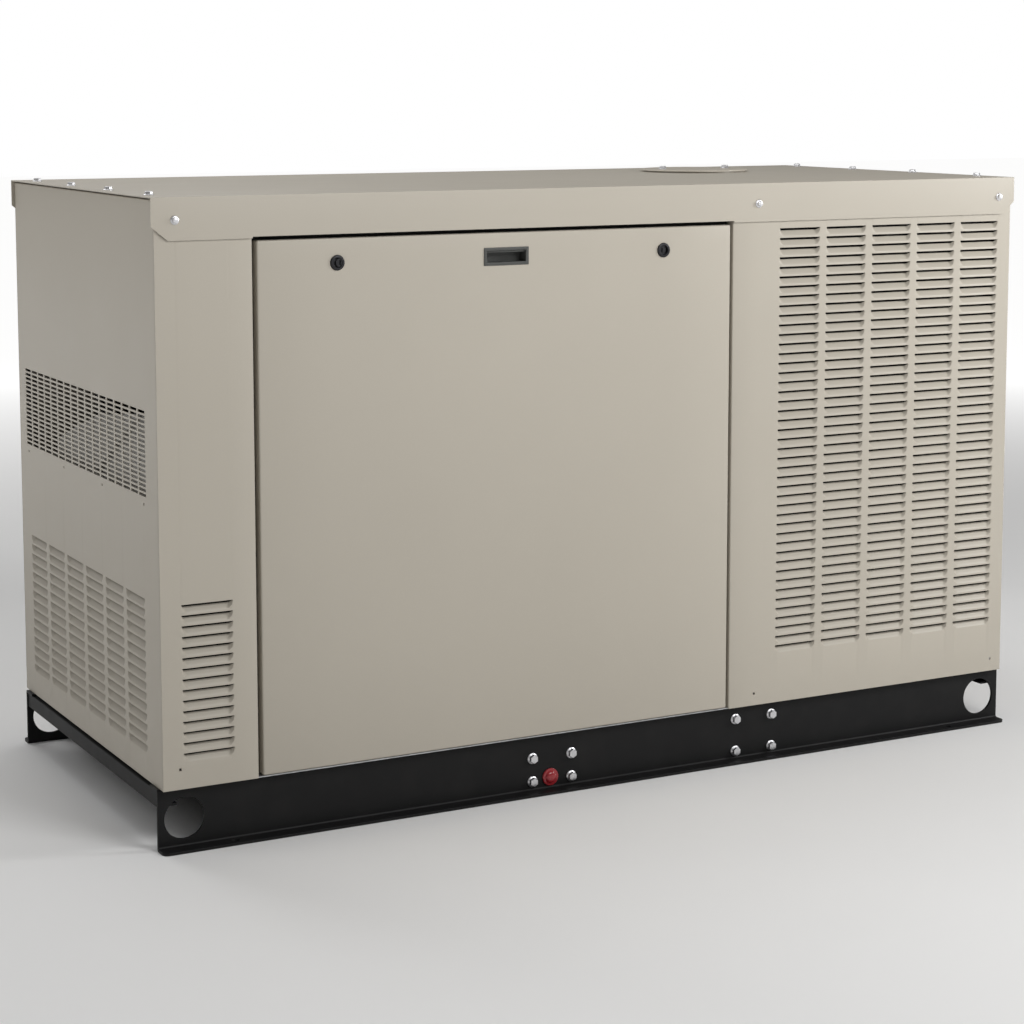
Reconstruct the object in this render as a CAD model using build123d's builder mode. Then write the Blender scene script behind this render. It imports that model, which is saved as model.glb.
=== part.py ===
"""Home standby generator: a sheet-steel enclosure with two lift-off doors on a black skid.

Inside are a four-cylinder gas engine, its alternator, the cooling and exhaust systems, the
battery and the controls. X runs along the unit, the front faces -Y, Z is up and z = 0 is the
ground. The origin is under the middle of the unit. Millimetres.
"""
from build123d import *
import os
from math import cos, radians, sin

os.makedirs("parts", exist_ok=True)

# ---- overall sizes -------------------------------------------------------------------------
length = 1880.0  # roof and skid
width = 836.0  # over the roof's skirts
height = 1158.0  # ground to the roof's top face
skid_height = 113.0  # ground to the top of the rails
sheet = 2.0  # enclosure steel

# ---- skid ----------------------------------------------------------------------------------
rail_inset = 20.0  # rail web behind the roof skirt's face
rail_thick = 5.0
rail_foot = 30.0  # bottom flange, outwards
rail_ledge = 40.0  # top flange, inwards
lift_hole_r = 38.0
lift_hole_from_end = 50.0
lift_hole_z = 56.0
anchor_r = 7.0
anchor_from_end = 140.0
gen_mount_x = -145.5  # cross-member under the flywheel housing
engine_mount_x = 317.5  # cross-member under the engine's front feet
gen_bolt_pitch = (85.0, 45.5)
gen_bolt_z = 44.75
engine_bolt_pitch = (86.0, 65.5)
engine_bolt_z = 52.75
bolt_r = 6.0
bolt_play = 0.5  # bolt shank to its hole
drain_x, drain_z = -149.5, 26.5
drain_r = 12.0
drain_hose_r = 8.0
drain_turn_y = -240.0  # where the drain hose turns along X
fuel_x, fuel_z = -300.0, 58.0
fuel_pipe_r = 17.0
fuel_bore_r = 13.0
conduit_x, conduit_z, conduit_r = -520.0, 56.0, 25.0

# ---- enclosure -----------------------------------------------------------------------------
roof_overhang = 6.0  # roof past the end panels
skirt_gap = 2.0  # skirt to side panel
roof_gap = 3.0  # under the roof, over the end panels
skirt_height = 75.5
skirt_relief = 3.0  # skirt cut shorter over a door
skirt_chamfer = (30.0, 25.0)
panel_flange = 20.0
end_flange = 40.0  # under the roof, with the roof screws' nuts
left_panel_edge = -754.0  # door opening
right_panel_edge = 248.0
door_left = -745.0
door_width = 987.0
door_height = 962.0
door_lift = 3.0  # door's foot above the rails
door_depth = 22.0
louvre_pitch = 19.05
louvre_slit = 5.0
side_louvre_width = 98.0
side_louvre_spacing = 112.0
side_louvre_x = 630.0  # middle column of the right-hand field
side_louvre_columns = 5
side_louvre_rows = 45
side_louvre_top = 1068.0
small_louvre_x = -847.5
small_louvre_rows = 15
small_louvre_top = 444.0
end_field_y = 10.0  # end panel's fields sit a little to the rear
end_louvre_width = 103.0
end_louvre_spacing = 117.0
end_louvre_columns = 6
screen_columns, screen_rows = 17, 18
screen_spacing = (42.7, 8.72)
screen_slot = (36.0, 5.2)
screen_z = 705.0
frame_gap = 0.5  # between bolted frame members

# ---- power train ---------------------------------------------------------------------------
shaft_z = 420.0  # crankshaft above ground
run_fit = 0.05  # radial clearance of a running fit
bore_pitch = 110.0
first_bore_x = -5.0
bore_r = 43.5
stroke = 86.0
journal_r = 30.0
pin_r = 24.0
nose_r = 18.0
rotor_shaft_r = 25.0
rotor_r = 123.0
air_gap = 2.0  # rotor to stator
stator_r = 200.0
crank_pulley_r = 75.0
fan_pulley_r = 65.0
alternator_pulley_r = 30.0
fan_z = 610.0
fan_r = 195.0
fan_shaft_r = 12.0
charger_y, charger_z = -185.0, 600.0
belt_width = 21.0
belt_thick = 6.0
belt_gap = 0.4

# ---- places that follow from those ---------------------------------------------------------
end_x = length / 2 - roof_overhang
end_in = end_x - sheet
skirt_y = width / 2
side_y = skirt_y - sheet - skirt_gap
side_in = side_y - sheet
rail_y = skirt_y - rail_inset
rail_in = rail_y - rail_thick
panel_top = height - sheet - roof_gap
skirt_bottom = height - skirt_height
door_right = door_left + door_width
door_mid = door_left + door_width / 2
door_bottom = skid_height + door_lift
door_top = door_bottom + door_height
block_front = first_bore_x + 3.5 * bore_pitch
block_back = first_bore_x - bore_pitch / 2
sill_top = skid_height + sheet
frame_y = door_depth + 6.0  # the frame's inner lip behind the side face
lip_y = side_y - frame_y


def keep(piece, name):
    """Label a finished piece and write it."""
    piece.part.label = name
    export_step(piece.part, f"parts/{name}.step")


def block(low, high, mode=Mode.ADD):
    """A box between two corners, in the piece being built."""
    middle = tuple((a + b) / 2 for a, b in zip(low, high))
    with Locations(middle):
        Box(*[b - a for a, b in zip(low, high)], mode=mode)


def drum(start, axis, radius, span, mode=Mode.ADD):
    """A round bar that starts at a point and runs along an axis."""
    with Locations(Plane(origin=start, z_dir=axis)):
        Cylinder(radius, span, align=(Align.CENTER, Align.CENTER, Align.MIN), mode=mode)


def pipe(points, bend, radius, bore=0.0):
    """A round pipe along straight runs with tangent bends."""
    with BuildLine() as route:
        FilletPolyline(*points, radius=bend)
    wire = route.wires()[0]
    with BuildSketch(Plane(origin=wire @ 0, z_dir=wire % 0)) as ring:
        Circle(radius)
        if bore:
            Circle(bore, mode=Mode.SUBTRACT)
    sweep(ring.sketch, path=wire)


# ---- skid ----------------------------------------------------------------------------------
mounts = (
    (gen_mount_x, gen_bolt_z, gen_bolt_pitch),
    (engine_mount_x, engine_bolt_z, engine_bolt_pitch),
)


def rail(side):
    """A rail: web, foot flange outwards, ledge inwards. side is -1 in front, 1 behind."""
    with BuildPart() as made:
        with BuildSketch(Plane.YZ.offset(-length / 2)) as section:
            with BuildLine():
                Polyline(
                    (side * (rail_y + rail_foot), 0),
                    (side * rail_in, 0),
                    (side * rail_in, skid_height - rail_thick),
                    (side * (rail_y - rail_ledge), skid_height - rail_thick),
                    (side * (rail_y - rail_ledge), skid_height),
                    (side * rail_y, skid_height),
                    (side * rail_y, rail_thick),
                    (side * (rail_y + rail_foot), rail_thick),
                    close=True,
                )
            make_face()
            folds = [v for v in section.vertices() if abs(v.X) < rail_y + 1 and v.Y <= rail_thick]
            folds += [v for v in section.vertices() if abs(v.X) > rail_y - 1 and v.Y > rail_thick]
            fillet(folds, radius=rail_thick - 1)
        extrude(amount=length)
        tips = edges().filter_by(Axis.Z).group_by(Axis.Y)[0 if side < 0 else -1]
        fillet(tips, radius=12)
        web = (0, side * (rail_y + 1), 0)
        for end in (-1, 1):
            x = end * (length / 2 - lift_hole_from_end)
            drum((x, web[1], lift_hole_z), (0, -side, 0), lift_hole_r, rail_thick + 2, Mode.SUBTRACT)
            x = end * (length / 2 - anchor_from_end)
            y = side * (rail_y + rail_foot / 2)
            drum((x, y, -1), (0, 0, 1), anchor_r, rail_thick + 2, Mode.SUBTRACT)
        for x, z, pitch in mounts:
            with Locations(Plane(origin=(x, web[1], z), x_dir=(1, 0, 0), z_dir=(0, -side, 0))):
                with GridLocations(*pitch, 2, 2):
                    Cylinder(bolt_r + bolt_play, 2 * rail_thick + 4, mode=Mode.SUBTRACT)
        extra = [(drain_x, drain_z, drain_r)]
        if side > 0:
            extra = [(fuel_x, fuel_z, fuel_pipe_r + 1), (conduit_x, conduit_z, conduit_r)]
        for x, z, radius in extra:
            drum((x, web[1], z), (0, -side, 0), radius, rail_thick + 2, Mode.SUBTRACT)
    return made


front_rail = rail(-1)
keep(front_rail, "front_rail")
rear_rail = rail(1)
keep(rear_rail, "rear_rail")

member_end = rail_in - frame_gap
member_top = skid_height - rail_thick - frame_gap
end_member = (36.0, 28.0, 4.0)  # width, height, thickness
with BuildPart() as crossmembers:
    for end in (-1, 1):
        outer = end * (length / 2 - 2)
        inner = outer - end * end_member[0]
        low, high = sorted((outer, inner))
        foot = member_top - end_member[1]
        block((low, -member_end, foot), (high, member_end, member_top))
        low, high = sorted((outer - end * end_member[2], inner))
        floor = foot + end_member[2]
        block(
            (low, -member_end, floor),
            (high, member_end, member_top - end_member[2]),
            Mode.SUBTRACT,
        )
    for x, z, pitch in mounts:
        half = pitch[0] / 2 + 14
        block((x - half, -member_end, 8), (x + half, member_end, member_top))
        block(
            (x - half + 5, -member_end + 6, 7),
            (x + half - 5, member_end - 6, member_top - 5),
            Mode.SUBTRACT,
        )
        for side in (-1, 1):
            face = Plane(origin=(x, side * (member_end - 3), z), x_dir=(1, 0, 0), z_dir=(0, side, 0))
            with Locations(face):
                with GridLocations(*pitch, 2, 2):
                    Cylinder(bolt_r + bolt_play, 12, mode=Mode.SUBTRACT)
    drum((drain_x, -member_end - 1, drain_z), (0, 1, 0), drain_r, 8, Mode.SUBTRACT)
    drum((gen_mount_x, drain_turn_y, drain_z), (1, 0, 0), drain_hose_r + 3, 80, Mode.SUBTRACT)
keep(crossmembers, "crossmembers")

cap_r = 17.0
with BuildPart() as drain_cap:
    with BuildSketch(Plane.XZ.offset(rail_y)):
        with Locations((drain_x, drain_z)):
            Circle(cap_r)
    extrude(amount=9)
    dome = faces().sort_by(Axis.Y)[0]
    fillet(dome.edges(), radius=4)
    drum((drain_x, -rail_y, drain_z), (0, 1, 0), drain_r - 1, 34)
keep(drain_cap, "drain_cap")

# ---- fasteners -----------------------------------------------------------------------------
mount_bolt = (11.0, 2.5, 9.6, 8.0, bolt_r, 22.0)
roof_screw = (9.5, 1.6, 7.5, 5.4, 4.0, 6.0)
skirt_screw = (8.0, 1.4, 5.8, 4.6, 3.0, 5.5)
screw_play = 0.5
roof_screw_y = (-330.0, -110.0, 110.0, 330.0)
roof_screw_from_end = 28.0
skirt_screw_in = (43.0, 57.0, 39.0)  # from the left end, the door opening and the right end
skirt_screw_x = (
    skirt_screw_in[0] - length / 2,
    right_panel_edge + skirt_screw_in[1],
    length / 2 - skirt_screw_in[2],
)
skirt_screw_drop = 40.0
cover_x, cover_y, cover_r = 533.0, 182.0, 118.0
cover_thick = 3.0
cover_stand = 3.0  # gasket under the cover
cover_screw_offset = 81.0


def screw(start, axis, sizes):
    """A flanged hex screw whose washer stands on start and whose head points along axis."""
    washer_r, washer_h, hex_r, hex_h, shank_r, shank = sizes
    drum(start, axis, washer_r, washer_h)
    with BuildSketch(Plane(origin=start, z_dir=axis)) as head:
        RegularPolygon(hex_r, 6)
    extrude(head.sketch, amount=washer_h + hex_h)
    drum(start, tuple(-a for a in axis), shank_r, shank)


roof_screws = [
    (end * (length / 2 - roof_screw_from_end), y, height)
    for end in (-1, 1)
    for y in roof_screw_y
]
cover_top = height + cover_stand + cover_thick
cover_screws = [(cover_x + k * cover_screw_offset, cover_y, cover_top) for k in (-1, 1)]
skirt_screws = [
    (x, side * skirt_y, height - skirt_screw_drop) for side in (-1, 1) for x in skirt_screw_x
]
with BuildPart() as fasteners:
    for x, z, pitch in mounts:
        for side in (-1, 1):
            for dx in (-pitch[0] / 2, pitch[0] / 2):
                for dz in (-pitch[1] / 2, pitch[1] / 2):
                    screw((x + dx, side * rail_y, z + dz), (0, side, 0), mount_bolt)
    for place in roof_screws + cover_screws:
        screw(place, (0, 0, 1), roof_screw)
    for place in skirt_screws:
        screw(place, (0, 1 if place[1] > 0 else -1, 0), skirt_screw)
keep(fasteners, "fasteners")

# ---- roof ----------------------------------------------------------------------------------
with BuildPart() as roof:
    with BuildSketch(Plane.XY.offset(height - sheet)):
        Rectangle(length, width)
        with Locations(*[(x, y) for x, y, z in roof_screws + cover_screws]):
            Circle(roof_screw[4] + screw_play, mode=Mode.SUBTRACT)
        with Locations((cover_x, cover_y)):
            Circle(cover_r - 48, mode=Mode.SUBTRACT)
    extrude(amount=sheet)
    half = length / 2
    with BuildSketch(Plane.XZ.offset(-skirt_y)) as skirt:
        with BuildLine():
            Polyline(
                (-half, height - sheet),
                (-half, skirt_bottom + skirt_chamfer[1]),
                (-half + skirt_chamfer[0], skirt_bottom),
                (left_panel_edge, skirt_bottom),
                (left_panel_edge, skirt_bottom + skirt_relief),
                (right_panel_edge, skirt_bottom + skirt_relief),
                (right_panel_edge, skirt_bottom),
                (half - skirt_chamfer[0], skirt_bottom),
                (half, skirt_bottom + skirt_chamfer[1]),
                (half, height - sheet),
                close=True,
            )
        make_face()
        with Locations(*[(x, height - skirt_screw_drop) for x in skirt_screw_x]):
            Circle(skirt_screw[4] + screw_play, mode=Mode.SUBTRACT)
    extrude(amount=sheet)
    extrude(skirt.sketch.moved(Location((0, -2 * skirt_y + sheet, 0))), amount=sheet)
keep(roof, "roof")

with BuildPart() as radiator_access_cover:
    with BuildSketch(Plane.XY.offset(height + cover_stand)):
        with Locations((cover_x, cover_y)):
            Circle(cover_r)
        with Locations(*[(x, y) for x, y, z in cover_screws]):
            Circle(roof_screw[4] + screw_play, mode=Mode.SUBTRACT)
    extrude(amount=cover_thick)
    with BuildSketch(Plane.XY.offset(height)):
        with Locations((cover_x, cover_y)):
            Circle(cover_r - 6)
            Circle(cover_r - 20, mode=Mode.SUBTRACT)
    extrude(amount=cover_stand)
keep(radiator_access_cover, "radiator_access_cover")

# ---- side and end panels -------------------------------------------------------------------
pilot_r = 3.0


def slits(x, top, columns, spacing, wide, rows):
    """Cut a field of louvre slits whose first row's top edge is at top."""
    with Locations((x, top - louvre_slit / 2 - (rows - 1) * louvre_pitch / 2)):
        with GridLocations(spacing, louvre_pitch, columns, rows):
            Rectangle(wide, louvre_slit, mode=Mode.SUBTRACT)


def side_panel(low, high, flange_at, field, pilots, screws):
    """A front side panel from low to high in X, folded inwards beside the door."""
    with BuildPart() as made:
        with BuildSketch(Plane.XZ.offset(side_in)) as outline:
            with Locations(((low + high) / 2, (skid_height + panel_top) / 2)):
                Rectangle(high - low, panel_top - skid_height)
            slits(*field)
            with Locations(*pilots):
                Circle(pilot_r, mode=Mode.SUBTRACT)
            with Locations(*[(x, height - skirt_screw_drop) for x in screws]):
                Circle(skirt_screw[4] + screw_play, mode=Mode.SUBTRACT)
        extrude(outline.sketch, amount=sheet)
        inner = flange_at + sheet if flange_at == low else flange_at - sheet
        start, stop = sorted((flange_at, inner))
        low_z, high_z = skid_height + sheet + frame_gap, panel_top - 2 * sheet - 2 * frame_gap
        block((start, -side_y, low_z), (stop, -side_y + panel_flange + sheet, high_z))
    return made


small_field = (small_louvre_x, small_louvre_top, 1, 1, side_louvre_width, small_louvre_rows)
side_field = (
    side_louvre_x,
    side_louvre_top,
    side_louvre_columns,
    side_louvre_spacing,
    side_louvre_width,
    side_louvre_rows,
)
front_left_panel = side_panel(
    -end_x, left_panel_edge, left_panel_edge, small_field, [(-902, 149)], skirt_screw_x[:1]
)
keep(front_left_panel, "front_left_panel")
front_right_panel = side_panel(
    right_panel_edge, end_x, right_panel_edge, side_field, [(308, 137), (907, 139)], skirt_screw_x[1:]
)
keep(front_right_panel, "front_right_panel")
for name, source in (("rear_left_panel", front_left_panel), ("rear_right_panel", front_right_panel)):
    with BuildPart() as rear_panel:
        mirror(source.part, about=Plane.XZ)
    keep(rear_panel, name)


def end_panel(end):
    """An end panel with an inward top flange. end is -1 on the left, 1 on the right."""
    with BuildPart() as made:
        face = Plane(origin=(end * end_in, 0, 0), x_dir=(0, end, 0), z_dir=(end, 0, 0))
        middle = end * end_field_y
        with BuildSketch(face) as outline:
            with Locations((0, (skid_height + panel_top) / 2)):
                Rectangle(2 * (side_in - 1), panel_top - skid_height)
            rows = small_louvre_rows if end < 0 else side_louvre_rows
            top = small_louvre_top if end < 0 else side_louvre_top
            slits(middle, top, end_louvre_columns, end_louvre_spacing, end_louvre_width, rows)
            if end < 0:
                with Locations((middle, screen_z)):
                    with GridLocations(*screen_spacing, screen_columns, screen_rows):
                        Rectangle(*screen_slot, mode=Mode.SUBTRACT)
                with Locations((middle, screen_z - screen_rows * screen_spacing[1] / 2 - 12)):
                    with GridLocations(232, 1, 4, 1):
                        Circle(pilot_r - 0.5, mode=Mode.SUBTRACT)
        extrude(outline.sketch, amount=sheet)
        low, high = sorted((end * end_x, end * (end_x - end_flange)))
        reach = side_in - 1
        block((low, -reach, panel_top - sheet), (high, reach, panel_top))
        for y in roof_screw_y:
            at = (end * (length / 2 - roof_screw_from_end), y, panel_top - sheet - 1)
            drum(at, (0, 0, 1), roof_screw[4] + screw_play, sheet + 2, Mode.SUBTRACT)
    return made


left_end_panel = end_panel(-1)
keep(left_end_panel, "left_end_panel")
right_end_panel = end_panel(1)
keep(right_end_panel, "right_end_panel")

# ---- enclosure frame -----------------------------------------------------------------------
angle_leg = 28.0
angle_thick = 3.0
post_size = 30.0
post_wall = 2.0
header_bottom = door_top - 18.0
header_top = panel_top - sheet - frame_gap
stud_r = 4.0
stud_height = 10.0
stud_y = side_y - 12.0
stud_x = (door_left + 45.0, door_right - 45.0)
post_x = (left_panel_edge - sheet - post_size, right_panel_edge + sheet)

with BuildPart() as enclosure_frame:
    for side in (-1, 1):
        y0, y1 = sorted((side * side_in, side * (rail_y - rail_ledge)))
        block((-end_in, y0, skid_height), (end_in, y1, sill_top))
        lip = sorted((side * (lip_y + 2), side * lip_y))
        block((-end_in + 4, lip[0], sill_top), (end_in - 4, lip[1], sill_top + 28))
        for x in stud_x:
            drum((x, side * stud_y, sill_top), (0, 0, 1), stud_r, stud_height)
        start = sill_top + 28 + frame_gap
        for end in (-1, 1):
            x0, x1 = sorted((end * end_in, end * (end_in - angle_leg)))
            y0, y1 = sorted((side * side_in, side * (side_in - angle_thick)))
            block((x0, y0, sill_top + frame_gap), (x1, y1, header_top))
            x0, x1 = sorted((end * end_in, end * (end_in - angle_thick)))
            y0, y1 = sorted((side * side_in, side * (lip_y + 3)))
            block((x0, y0, sill_top + frame_gap), (x1, y1, header_top))
        reach = end_in - angle_thick - frame_gap
        block((-reach, lip[0], header_bottom), (reach, lip[1], header_top))
        y0, y1 = sorted((side * (side_in - angle_thick - frame_gap), side * lip_y))
        block((-reach, y0, header_top - 2), (reach, y1, header_top))
        for x in post_x:
            y0, y1 = sorted((side * (lip_y - frame_gap), side * (lip_y - frame_gap - post_size)))
            block((x, y0, sill_top + frame_gap), (x + post_size, y1, header_top))
            block(
                (x + post_wall, y0 + post_wall, sill_top),
                (x + post_size - post_wall, y1 - post_wall, header_top + 1),
                Mode.SUBTRACT,
            )
    for end in (-1, 1):
        x0, x1 = sorted((end * (end_in - 1), end * (end_in - angle_leg)))
        reach = lip_y - 2 * frame_gap
        block((x0, -reach, header_top - 22), (x1, reach, header_top))
        x0, x1 = sorted((end * (end_in - 4), end * (end_in - angle_leg)))
        block((x0, -reach, header_top - 25), (x1, reach, header_top - 3), Mode.SUBTRACT)
keep(enclosure_frame, "enclosure_frame")

# ---- intake duct behind the end screen -----------------------------------------------------
duct_back = 27.0
duct_sheet = 1.5
screen_half = screen_columns * screen_spacing[0] / 2
screen_low = screen_z - screen_rows * screen_spacing[1] / 2
with BuildPart() as intake_duct:
    face_x = -end_in + duct_back
    with BuildSketch(Plane.YZ.offset(face_x)):
        with BuildLine():
            Polyline(
                (end_field_y - screen_half, screen_low - 8),
                (end_field_y - screen_half, screen_z + 30),
                (end_field_y - 268, screen_z + 59),
                (end_field_y - 30, screen_z + 29),
                (end_field_y + 110, screen_z - 9),
                (end_field_y + 240, screen_low + 27),
                (end_field_y + 240, screen_low - 8),
                close=True,
            )
        make_face()
    extrude(amount=duct_sheet)
    block(
        (-end_in, end_field_y - screen_half, screen_low - 8 - duct_sheet),
        (face_x + duct_sheet, end_field_y + screen_half, screen_low - 8),
    )
    block(
        (face_x, end_field_y - screen_half - duct_sheet, screen_low - 8 - duct_sheet),
        (face_x + 120, end_field_y - screen_half, screen_z + 30),
    )
    with BuildSketch(Plane.YZ.offset(face_x)) as rib:
        with BuildLine():
            Line((end_field_y - 264, screen_z + 54), (end_field_y - 22, screen_low + 1))
        trace(line_width=2.4)
    extrude(rib.sketch, amount=-10)
keep(intake_duct, "intake_duct")

# ---- doors ---------------------------------------------------------------------------------
lock_r = 11.0
lock_play = 0.5
lock_offset = 336.0
lock_z = door_top - 44.0
plug_r = 8.0
cam_y = lip_y - 3.0
cam_thick = 4.0
cam_reach = 48.0
pull_size = (93.5, 33.5)
pull_depth = 24.0
pull_wall = 2.0
pull_lip = 1.5


def door(side):
    """A pan-shaped door with holes for its locks, its pull and the sill's studs."""
    with BuildPart() as made:
        inner = side * (side_y - door_depth)
        y0, y1 = sorted((side * side_y, inner))
        block((door_left, y0, door_bottom), (door_right, y1, door_top))
        y0, y1 = sorted((side * side_in, inner - side))
        block(
            (door_left + sheet, y0, door_bottom + sheet),
            (door_right - sheet, y1, door_top - sheet),
            Mode.SUBTRACT,
        )
        for k in (-1, 1):
            at = (door_mid + k * lock_offset, side * (side_y + 1), lock_z)
            drum(at, (0, -side, 0), lock_r + lock_play, sheet + 2, Mode.SUBTRACT)
        w, h = (pull_size[0] / 2 - 3, pull_size[1] / 2 - 3)
        y0, y1 = sorted((side * (side_y + 1), side * (side_in - 1)))
        block((door_mid - w, y0, lock_z - h), (door_mid + w, y1, lock_z + h), Mode.SUBTRACT)
        for x in stud_x:
            at = (x, side * stud_y, door_bottom - 1)
            drum(at, (0, 0, 1), 2 * stud_r, sheet + 2, Mode.SUBTRACT)
    return made


def door_fittings(side):
    """The recessed pull and the two lock housings of a door."""
    with BuildPart() as made:
        w, h = pull_size[0] / 2, pull_size[1] / 2
        y0, y1 = sorted((side * side_y, side * (side_y + pull_lip)))
        block((door_mid - w, y0, lock_z - h), (door_mid + w, y1, lock_z + h))
        w, h = w - 3.5, h - 3.5
        y0, y1 = sorted((side * side_y, side * (side_y - pull_depth)))
        block((door_mid - w, y0, lock_z - h), (door_mid + w, y1, lock_z + h))
        w, h = w - pull_wall, h - pull_wall
        y0, y1 = sorted((side * (side_y + pull_lip + 1), side * (side_y - pull_depth + pull_wall)))
        block((door_mid - w, y0, lock_z - h), (door_mid + w, y1, lock_z + h), Mode.SUBTRACT)
        for k in (-1, 1):
            x = door_mid + k * lock_offset
            drum((x, side * side_y, lock_z), (0, side, 0), lock_r + 3, 3)
            drum((x, side * side_y, lock_z), (0, -side, 0), lock_r, door_depth + 8)
            with BuildSketch(Plane(origin=(x, side * side_in, lock_z), z_dir=(0, -side, 0))) as nut:
                RegularPolygon(lock_r + 5, 6)
            extrude(nut.sketch, amount=6)
            drum(
                (x, side * (side_y + 4), lock_z),
                (0, -side, 0),
                plug_r + run_fit,
                door_depth + 13,
                Mode.SUBTRACT,
            )
    return made


def latch(side, k):
    """A lock's key plug and cam. k is -1 on the left lock, 1 on the right."""
    x = door_mid + k * lock_offset
    with BuildPart() as made:
        drum((x, side * (side_y + 2), lock_z), (0, -side, 0), plug_r, side_y + 2 - cam_y)
        y0, y1 = sorted((side * (side_y + 3), side * (side_y - 2)))
        block((x - 1.2, y0, lock_z - 4.5), (x + 1.2, y1, lock_z + 4.5), Mode.SUBTRACT)
        tip = x - k * cam_reach
        y = side * cam_y
        with BuildSketch(Plane(origin=(0, y, 0), x_dir=(1, 0, 0), z_dir=(0, -1, 0))) as cam:
            with Locations((x, lock_z), (tip + k * 9, lock_z)):
                Circle(9)
            make_hull()
        extrude(cam.sketch, amount=side * cam_thick)
    return made


for name, side in (("front", -1), ("rear", 1)):
    keep(door(side), f"{name}_door")
    keep(door_fittings(side), f"{name}_door_fittings")
    keep(latch(side, -1), f"{name}_left_latch")
    keep(latch(side, 1), f"{name}_right_latch")

# ---- engine --------------------------------------------------------------------------------
half_block = 130.0
deck_z = 640.0
pan_rail_z = 310.0
web_wall = 11.0
bay_r = 95.0
cover_wall = 20.0
pulley_x = block_front + cover_wall + 40.0
bores_x = [first_bore_x + k * bore_pitch for k in range(4)]
dipstick_x, dipstick_y = 50.0, -135.0
dipstick_r = 3.0
mount_pad_z = 151.0
mount_y = 215.0
filter_x, filter_r = 160.0, 38.0
filter_seat = half_block + 22.0

with BuildPart() as engine_block:
    with BuildSketch(Plane.YZ.offset(block_back)):
        with BuildLine():
            Polyline(
                (-half_block, pan_rail_z),
                (half_block, pan_rail_z),
                (half_block + 20, shaft_z),
                (half_block - 20, shaft_z + 100),
                (half_block - 20, deck_z),
                (20 - half_block, deck_z),
                (20 - half_block, shaft_z + 100),
                (-half_block - 20, shaft_z),
                close=True,
            )
        make_face()
    extrude(amount=block_front - block_back)
    for x in bores_x:
        half_bay = bore_pitch / 2 - web_wall
        block((x - half_bay, -bay_r, pan_rail_z - 1), (x + half_bay, bay_r, shaft_z + 85), Mode.SUBTRACT)
        drum((x, 0, shaft_z + 80), (0, 0, 1), bore_r, deck_z - shaft_z, Mode.SUBTRACT)
    drum((block_back - 1, 0, shaft_z), (1, 0, 0), journal_r + run_fit, 600, Mode.SUBTRACT)
    for side in (-1, 1):
        y0, y1 = sorted((side * (half_block + 2), side * (mount_y + 22)))
        block((engine_mount_x - 26, y0, pan_rail_z + 4), (engine_mount_x + 26, y1, pan_rail_z + 30))
        y0, y1 = sorted((side * (mount_y - 22), side * (mount_y + 22)))
        block((engine_mount_x - 26, y0, mount_pad_z), (engine_mount_x + 26, y1, pan_rail_z + 4))
    drum((filter_x, -half_block + 20, shaft_z), (0, -1, 0), filter_r - 10, filter_seat - half_block + 20)
    drum((dipstick_x, dipstick_y, shaft_z + 30), (0, 0, 1), dipstick_r + 4, 190)
    drum(
        (dipstick_x, dipstick_y, shaft_z - 40),
        (0, 0, 1),
        dipstick_r + run_fit,
        270,
        Mode.SUBTRACT,
    )
keep(engine_block, "engine_block")

with BuildPart() as oil_pan:
    block((block_back + 12, -half_block, pan_rail_z - 12), (block_front - 12, half_block, pan_rail_z))
    block((block_back + 30, -100, 215), (block_front - 30, 100, pan_rail_z - 12))
    block((block_back + 33, -97, 218), (block_front - 33, 97, pan_rail_z + 1), Mode.SUBTRACT)
keep(oil_pan, "oil_pan")

head_height = 100.0
head_half = 105.0
head_top = deck_z + head_height
port_z = deck_z + 55.0
with BuildPart() as cylinder_head:
    block((block_back + 4, -head_half, deck_z), (block_front - 4, head_half, head_top))
    with BuildSketch(Plane.XY.offset(deck_z)):
        with Locations(*[(x, 0) for x in bores_x]):
            Circle(bore_r - 4)
    extrude(amount=14, mode=Mode.SUBTRACT)
    for side in (-1, 1):
        for x in bores_x:
            drum((x, side * (head_half + 1), port_z), (0, -side, 0), 15, 60, Mode.SUBTRACT)
    drum((block_front - 20, -60, head_top - 28), (1, 0, 0), 20, 34)
keep(cylinder_head, "cylinder_head")

cover_height = 58.0
filler_x = 335.0
filler_r = 20.0
with BuildPart() as valve_cover:
    with BuildSketch(Plane.XY.offset(head_top)):
        with Locations(((block_back + block_front) / 2, 0)):
            RectangleRounded(block_front - block_back - 30, 150, 18)
    extrude(amount=cover_height, taper=4)
    top_edges = faces().sort_by(Axis.Z)[-1].edges()
    fillet(top_edges, radius=8)
    for k in range(5):
        x = block_back + 70 + k * 62
        block((x, -45, head_top + cover_height - 1), (x + 6, 45, head_top + cover_height + 3))
    drum((filler_x, 0, head_top + 30), (0, 0, 1), filler_r + 4, cover_height - 14)
    drum((filler_x, 0, head_top + 50), (0, 0, 1), filler_r - 4, cover_height, Mode.SUBTRACT)
keep(valve_cover, "valve_cover")

cap_seat = head_top + 30 + cover_height - 14
with BuildPart() as oil_filler_cap:
    drum((filler_x, 0, cap_seat + 0.3), (0, 0, 1), filler_r + 7, 14)
    fillet(faces().sort_by(Axis.Z)[-1].edges(), radius=3)
    drum((filler_x, 0, cap_seat - 14), (0, 0, 1), filler_r - 4.4, 16)
    block(
        (filler_x - 4, -filler_r, cap_seat + 10),
        (filler_x + 4, filler_r, cap_seat + 24),
    )
keep(oil_filler_cap, "oil_filler_cap")

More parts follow.
